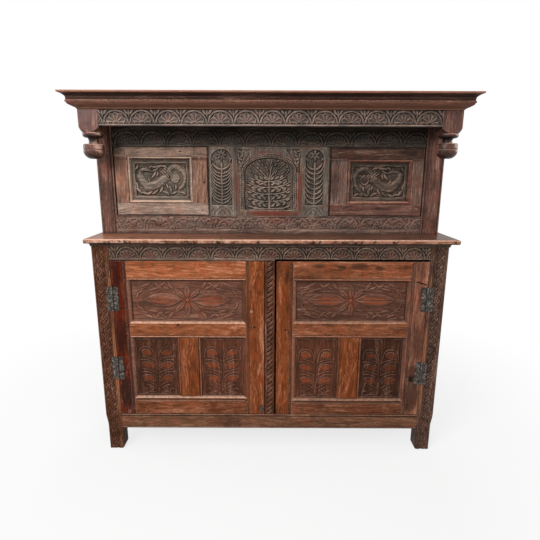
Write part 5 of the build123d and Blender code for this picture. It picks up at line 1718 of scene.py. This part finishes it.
class CUPBOARD_OT_ironwork(bpy.types.Operator):
    """Finish the hinges, pins, pivots and turn button, and drive the hinge nails"""
    bl_idname = "cupboard.ironwork"
    bl_label = "Ironwork"

    def execute(self, context):
        iron = wrought_iron()
        for node in IRONS:
            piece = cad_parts[node]
            piece.data.materials.clear()
            piece.data.materials.append(iron)
        face = millimetres("front_post_left")[0].y - LEAF_THICK
        post_far = -millimetres("hinge_post_leaves")[0].x - NAIL_MARGIN
        door_far = -millimetres("lower_left_door_hinge_leaves")[1].x + NAIL_MARGIN
        levels = {sign: [middle + step for middle in middles for step in NAIL_STEPS]
                  for sign, middles in HINGE_MIDDLES.items()}
        places = [(sign * (post_far + (3 if index % 2 else -3)), face, level)
                  for _, sign in SIDES for index, level in enumerate(levels[sign])]
        put("hinge_post_nails", studs("hinge_post_nails", places, *NAIL, seed=3), "carcase",
            [iron])
        for side, sign in SIDES:
            places = [(sign * (door_far + (2 if index % 2 else 8)), face, level)
                      for index, level in enumerate(levels[sign])]
            name = f"lower_{side}_door_hinge_nails"
            put(name, studs(name, places, *NAIL, seed=7 + sign), f"lower_{side}_door", [iron])
        return {"FINISHED"}


def lower_pegs(side, sign):
    """The pegs of a lower door: two in each joint of its stiles and of its muntin."""
    low, high = millimetres(f"lower_{side}_door_stiles")
    inner, outer = (high.x, low.x) if sign < 0 else (low.x, high.x)
    lock, hinge = inner + sign * LOCK_PEG, outer - sign * HINGE_PEG
    foot, middle, top = PEG_LEVELS[side]
    places = [(x, low.y, level) for x in (lock, hinge) for level in (*foot, *middle, *top)]
    muntin_low, muntin_high = millimetres(f"lower_{side}_door_muntin")
    centre = (muntin_low.x + muntin_high.x) / 2
    return places + [(centre + across, low.y, level) for level in (foot[1] + 8, middle[0] - 8)
                     for across in (-16, 18)]


class CUPBOARD_OT_pegs(bpy.types.Operator):
    """Drive the oak pegs of the mortise and tenon joints"""
    bl_idname = "cupboard.pegs"
    bl_label = "Pegs"

    def execute(self, context):
        for side, sign in SIDES:
            low, high = millimetres(f"upper_{side}_door_rails")
            aside, up = UPPER_PEG
            upper = [(x, low.y, level) for x in (low.x + aside, high.x - aside)
                     for level in (low.z + up, high.z - up)]
            for stage, places, size, seed, name, tone in (
                    ("lower", lower_pegs(side, sign), PEG, 21, f"{side}_peg_oak",
                     shaded(tone_of(f"lower_{side}_door"), 0.5)),
                    ("upper", upper, SMALL_PEG, 31, "upper_peg_oak", shaded(tone_of("upper_carcase"), 0.6))):
                body = f"{stage}_{side}_door"
                put(f"{body}_pegs", studs(f"{body}_pegs", places, *size, PEG_SIDES, seed=seed + sign), body,
                    [oak(name, "y", tone, gloss=0.5)])
        face = millimetres("lower_left_door_stiles")[0].y
        plug = studs("lock_plug", [(LOCK_PLUG[0], face, LOCK_PLUG[1])], 7.0, 0.9, 8, seed=41)
        tone = between(tone_of("lock_stile"), tone_of("bare_edge_and_highlight"), 0.3)
        put("lock_plug", plug, "lower_left_door", [oak("plug_oak", "y", tone)])
        return {"FINISHED"}


# ------------ stage

LAMP_AIM = (0.0, -0.1, 0.85)
FLOOR_REACH = 60.0
SENSOR = 36.0
ROOM_TONE, WHITE = (1.0, 0.985, 0.96, 1.0), (1.0, 1.0, 1.0, 1.0)


def area_lamp(name, watts, size, place):
    """A large soft lamp turned to the middle of the cupboard."""
    lamp = bpy.data.lights.new(name, "AREA")
    lamp.shape = "RECTANGLE"
    lamp.size, lamp.size_y = size
    lamp.energy = watts
    holder = bpy.data.objects.new(name, lamp)
    bpy.context.scene.collection.objects.link(holder)
    holder.location = place
    holder.rotation_mode = "QUATERNION"
    holder.rotation_quaternion = (Vector(LAMP_AIM) - Vector(place)).to_track_quat("-Z", "Y")


def to_the_eye(finish):
    """1 for what is seen, straight or in gloss and glass, and 0 for the light that falls on things."""
    seen = finish.node("ShaderNodeLightPath", output="Is Camera Ray")
    rays = seen.output.node.outputs
    for ray in ("Is Glossy Ray", "Is Transmission Ray"):
        other = Strength(finish, rays[ray])
        seen = finish.node("ShaderNodeMath", {"operation": "MAXIMUM"}, {0: seen, 1: other})
    return seen


def pale_paper(floor):
    """Matt paper that keeps a soft shadow near the cupboard and looks white further out."""
    paper = Finish(bpy.data.materials.new("pale_paper"))
    matt = paper.node("ShaderNodeBsdfDiffuse", {}, {"Color": floor})
    glow = paper.node("ShaderNodeEmission", {}, {"Color": WHITE, "Strength": 1.0})
    place = paper.place()
    away = paper.vector("LENGTH", place, output=1)
    seen = to_the_eye(paper)
    return paper.close(paper.node("ShaderNodeMixShader", {}, {
        0: seen * (away.over(0.9, 2.4) * 0.22 + 0.78), 1: matt, 2: glow}))


class CUPBOARD_OT_stage(bpy.types.Operator):
    """Set up the floor, the soft lamps, the even room light and the camera"""
    bl_idname = "cupboard.stage"
    bl_label = "Stage"

    def execute(self, context):
        studio, scene = context.scene.cupboard_studio, context.scene
        scene.view_settings.view_transform = "Standard"
        front = millimetres("front_post_left")[0].y * MM

        eye = bpy.data.cameras.new("eye")
        eye.lens = studio.lens
        eye.sensor_width = SENSOR
        holder = bpy.data.objects.new("eye", eye)
        scene.collection.objects.link(holder)
        holder.location = (0.0, front - studio.stand_off, studio.eye)
        holder.rotation_mode = "QUATERNION"
        level = Matrix.Rotation(math.pi / 2 - studio.tilt, 3, "X") @ Matrix.Rotation(studio.roll, 3, "Z")
        holder.rotation_quaternion = level.to_quaternion()
        scene.camera = holder

        mesh = bpy.data.meshes.new("floor")
        corners = ((-1, -1), (1, -1), (1, 1), (-1, 1))
        mesh.from_pydata([(x * FLOOR_REACH, y * FLOOR_REACH, 0) for x, y in corners], [], [(0, 1, 2, 3)])
        floor = bpy.data.objects.new("floor", mesh)
        scene.collection.objects.link(floor)
        mesh.materials.append(pale_paper(tuple(studio.floor)))

        room = Finish(bpy.data.worlds.new("room"))
        even = room.node("ShaderNodeBackground", {}, {"Color": ROOM_TONE, "Strength": studio.room})
        white = room.node("ShaderNodeBackground", {}, {"Color": WHITE, "Strength": 1.0})
        either = room.node("ShaderNodeMixShader", {}, {0: to_the_eye(room), 1: even, 2: white})
        scene.world = room.close(either, "ShaderNodeOutputWorld")

        for name, watts, size, place in (
                ("key_lamp", studio.key, (1.5, 1.1), (-1.9, -2.9, 2.6)),
                ("top_lamp", studio.top, (1.6, 1.0), (-0.3, -1.5, 3.3)),
                ("side_lamp", studio.side, (1.2, 1.2), (2.6, -2.6, 1.7)),
                ("back_lamp", studio.back, (1.6, 1.2), (0.4, 3.4, 2.2)),
                ("left_end_lamp", studio.ends, (1.0, 1.2), (-3.2, 0.3, 1.7)),
                ("right_end_lamp", studio.ends, (1.0, 1.2), (3.2, 0.3, 1.7))):
            area_lamp(name, watts, size, place)
        return {"FINISHED"}


# ------------ panel and start

OPERATORS = (
    CUPBOARD_OT_stage, CUPBOARD_OT_frieze, CUPBOARD_OT_carved_rails, CUPBOARD_OT_front_posts,
    CUPBOARD_OT_centre_muntin, CUPBOARD_OT_upper_muntins, CUPBOARD_OT_arcade, CUPBOARD_OT_lower_panels,
    CUPBOARD_OT_beast_panels, CUPBOARD_OT_carcase, CUPBOARD_OT_shelf, CUPBOARD_OT_canopy,
    CUPBOARD_OT_door_frames, CUPBOARD_OT_ironwork, CUPBOARD_OT_pegs,
)


class CUPBOARD_PT_workshop(bpy.types.Panel):
    """Lists the pieces of the cupboard in the order they are made"""
    bl_idname = "CUPBOARD_PT_workshop"
    bl_label = "Court cupboard"
    bl_space_type = "VIEW_3D"
    bl_region_type = "UI"
    bl_category = "Cupboard"

    def draw(self, context):
        for group in ("cupboard_carving", "cupboard_finishes", "cupboard_studio"):
            settings = getattr(context.scene, group)
            box = self.layout.box()
            for name in settings.__annotations__:
                box.prop(settings, name)
        for operator in OPERATORS:
            self.layout.operator(operator.bl_idname)


GROUPS = {"cupboard_carving": CupboardCarving, "cupboard_finishes": CupboardFinishes,
          "cupboard_studio": CupboardStudio}
CLASSES = (*GROUPS.values(), *OPERATORS, CUPBOARD_PT_workshop)


def register():
    for cls in CLASSES:
        bpy.utils.register_class(cls)
    for name, group in GROUPS.items():
        setattr(bpy.types.Scene, name, bpy.props.PointerProperty(type=group))


def unregister():
    for name in GROUPS:
        delattr(bpy.types.Scene, name)
    for cls in reversed(CLASSES):
        bpy.utils.unregister_class(cls)


def main():
    register()
    for operator in OPERATORS:
        group, name = operator.bl_idname.split(".")
        getattr(getattr(bpy.ops, group), name)()


if __name__ == "__main__":
    main()
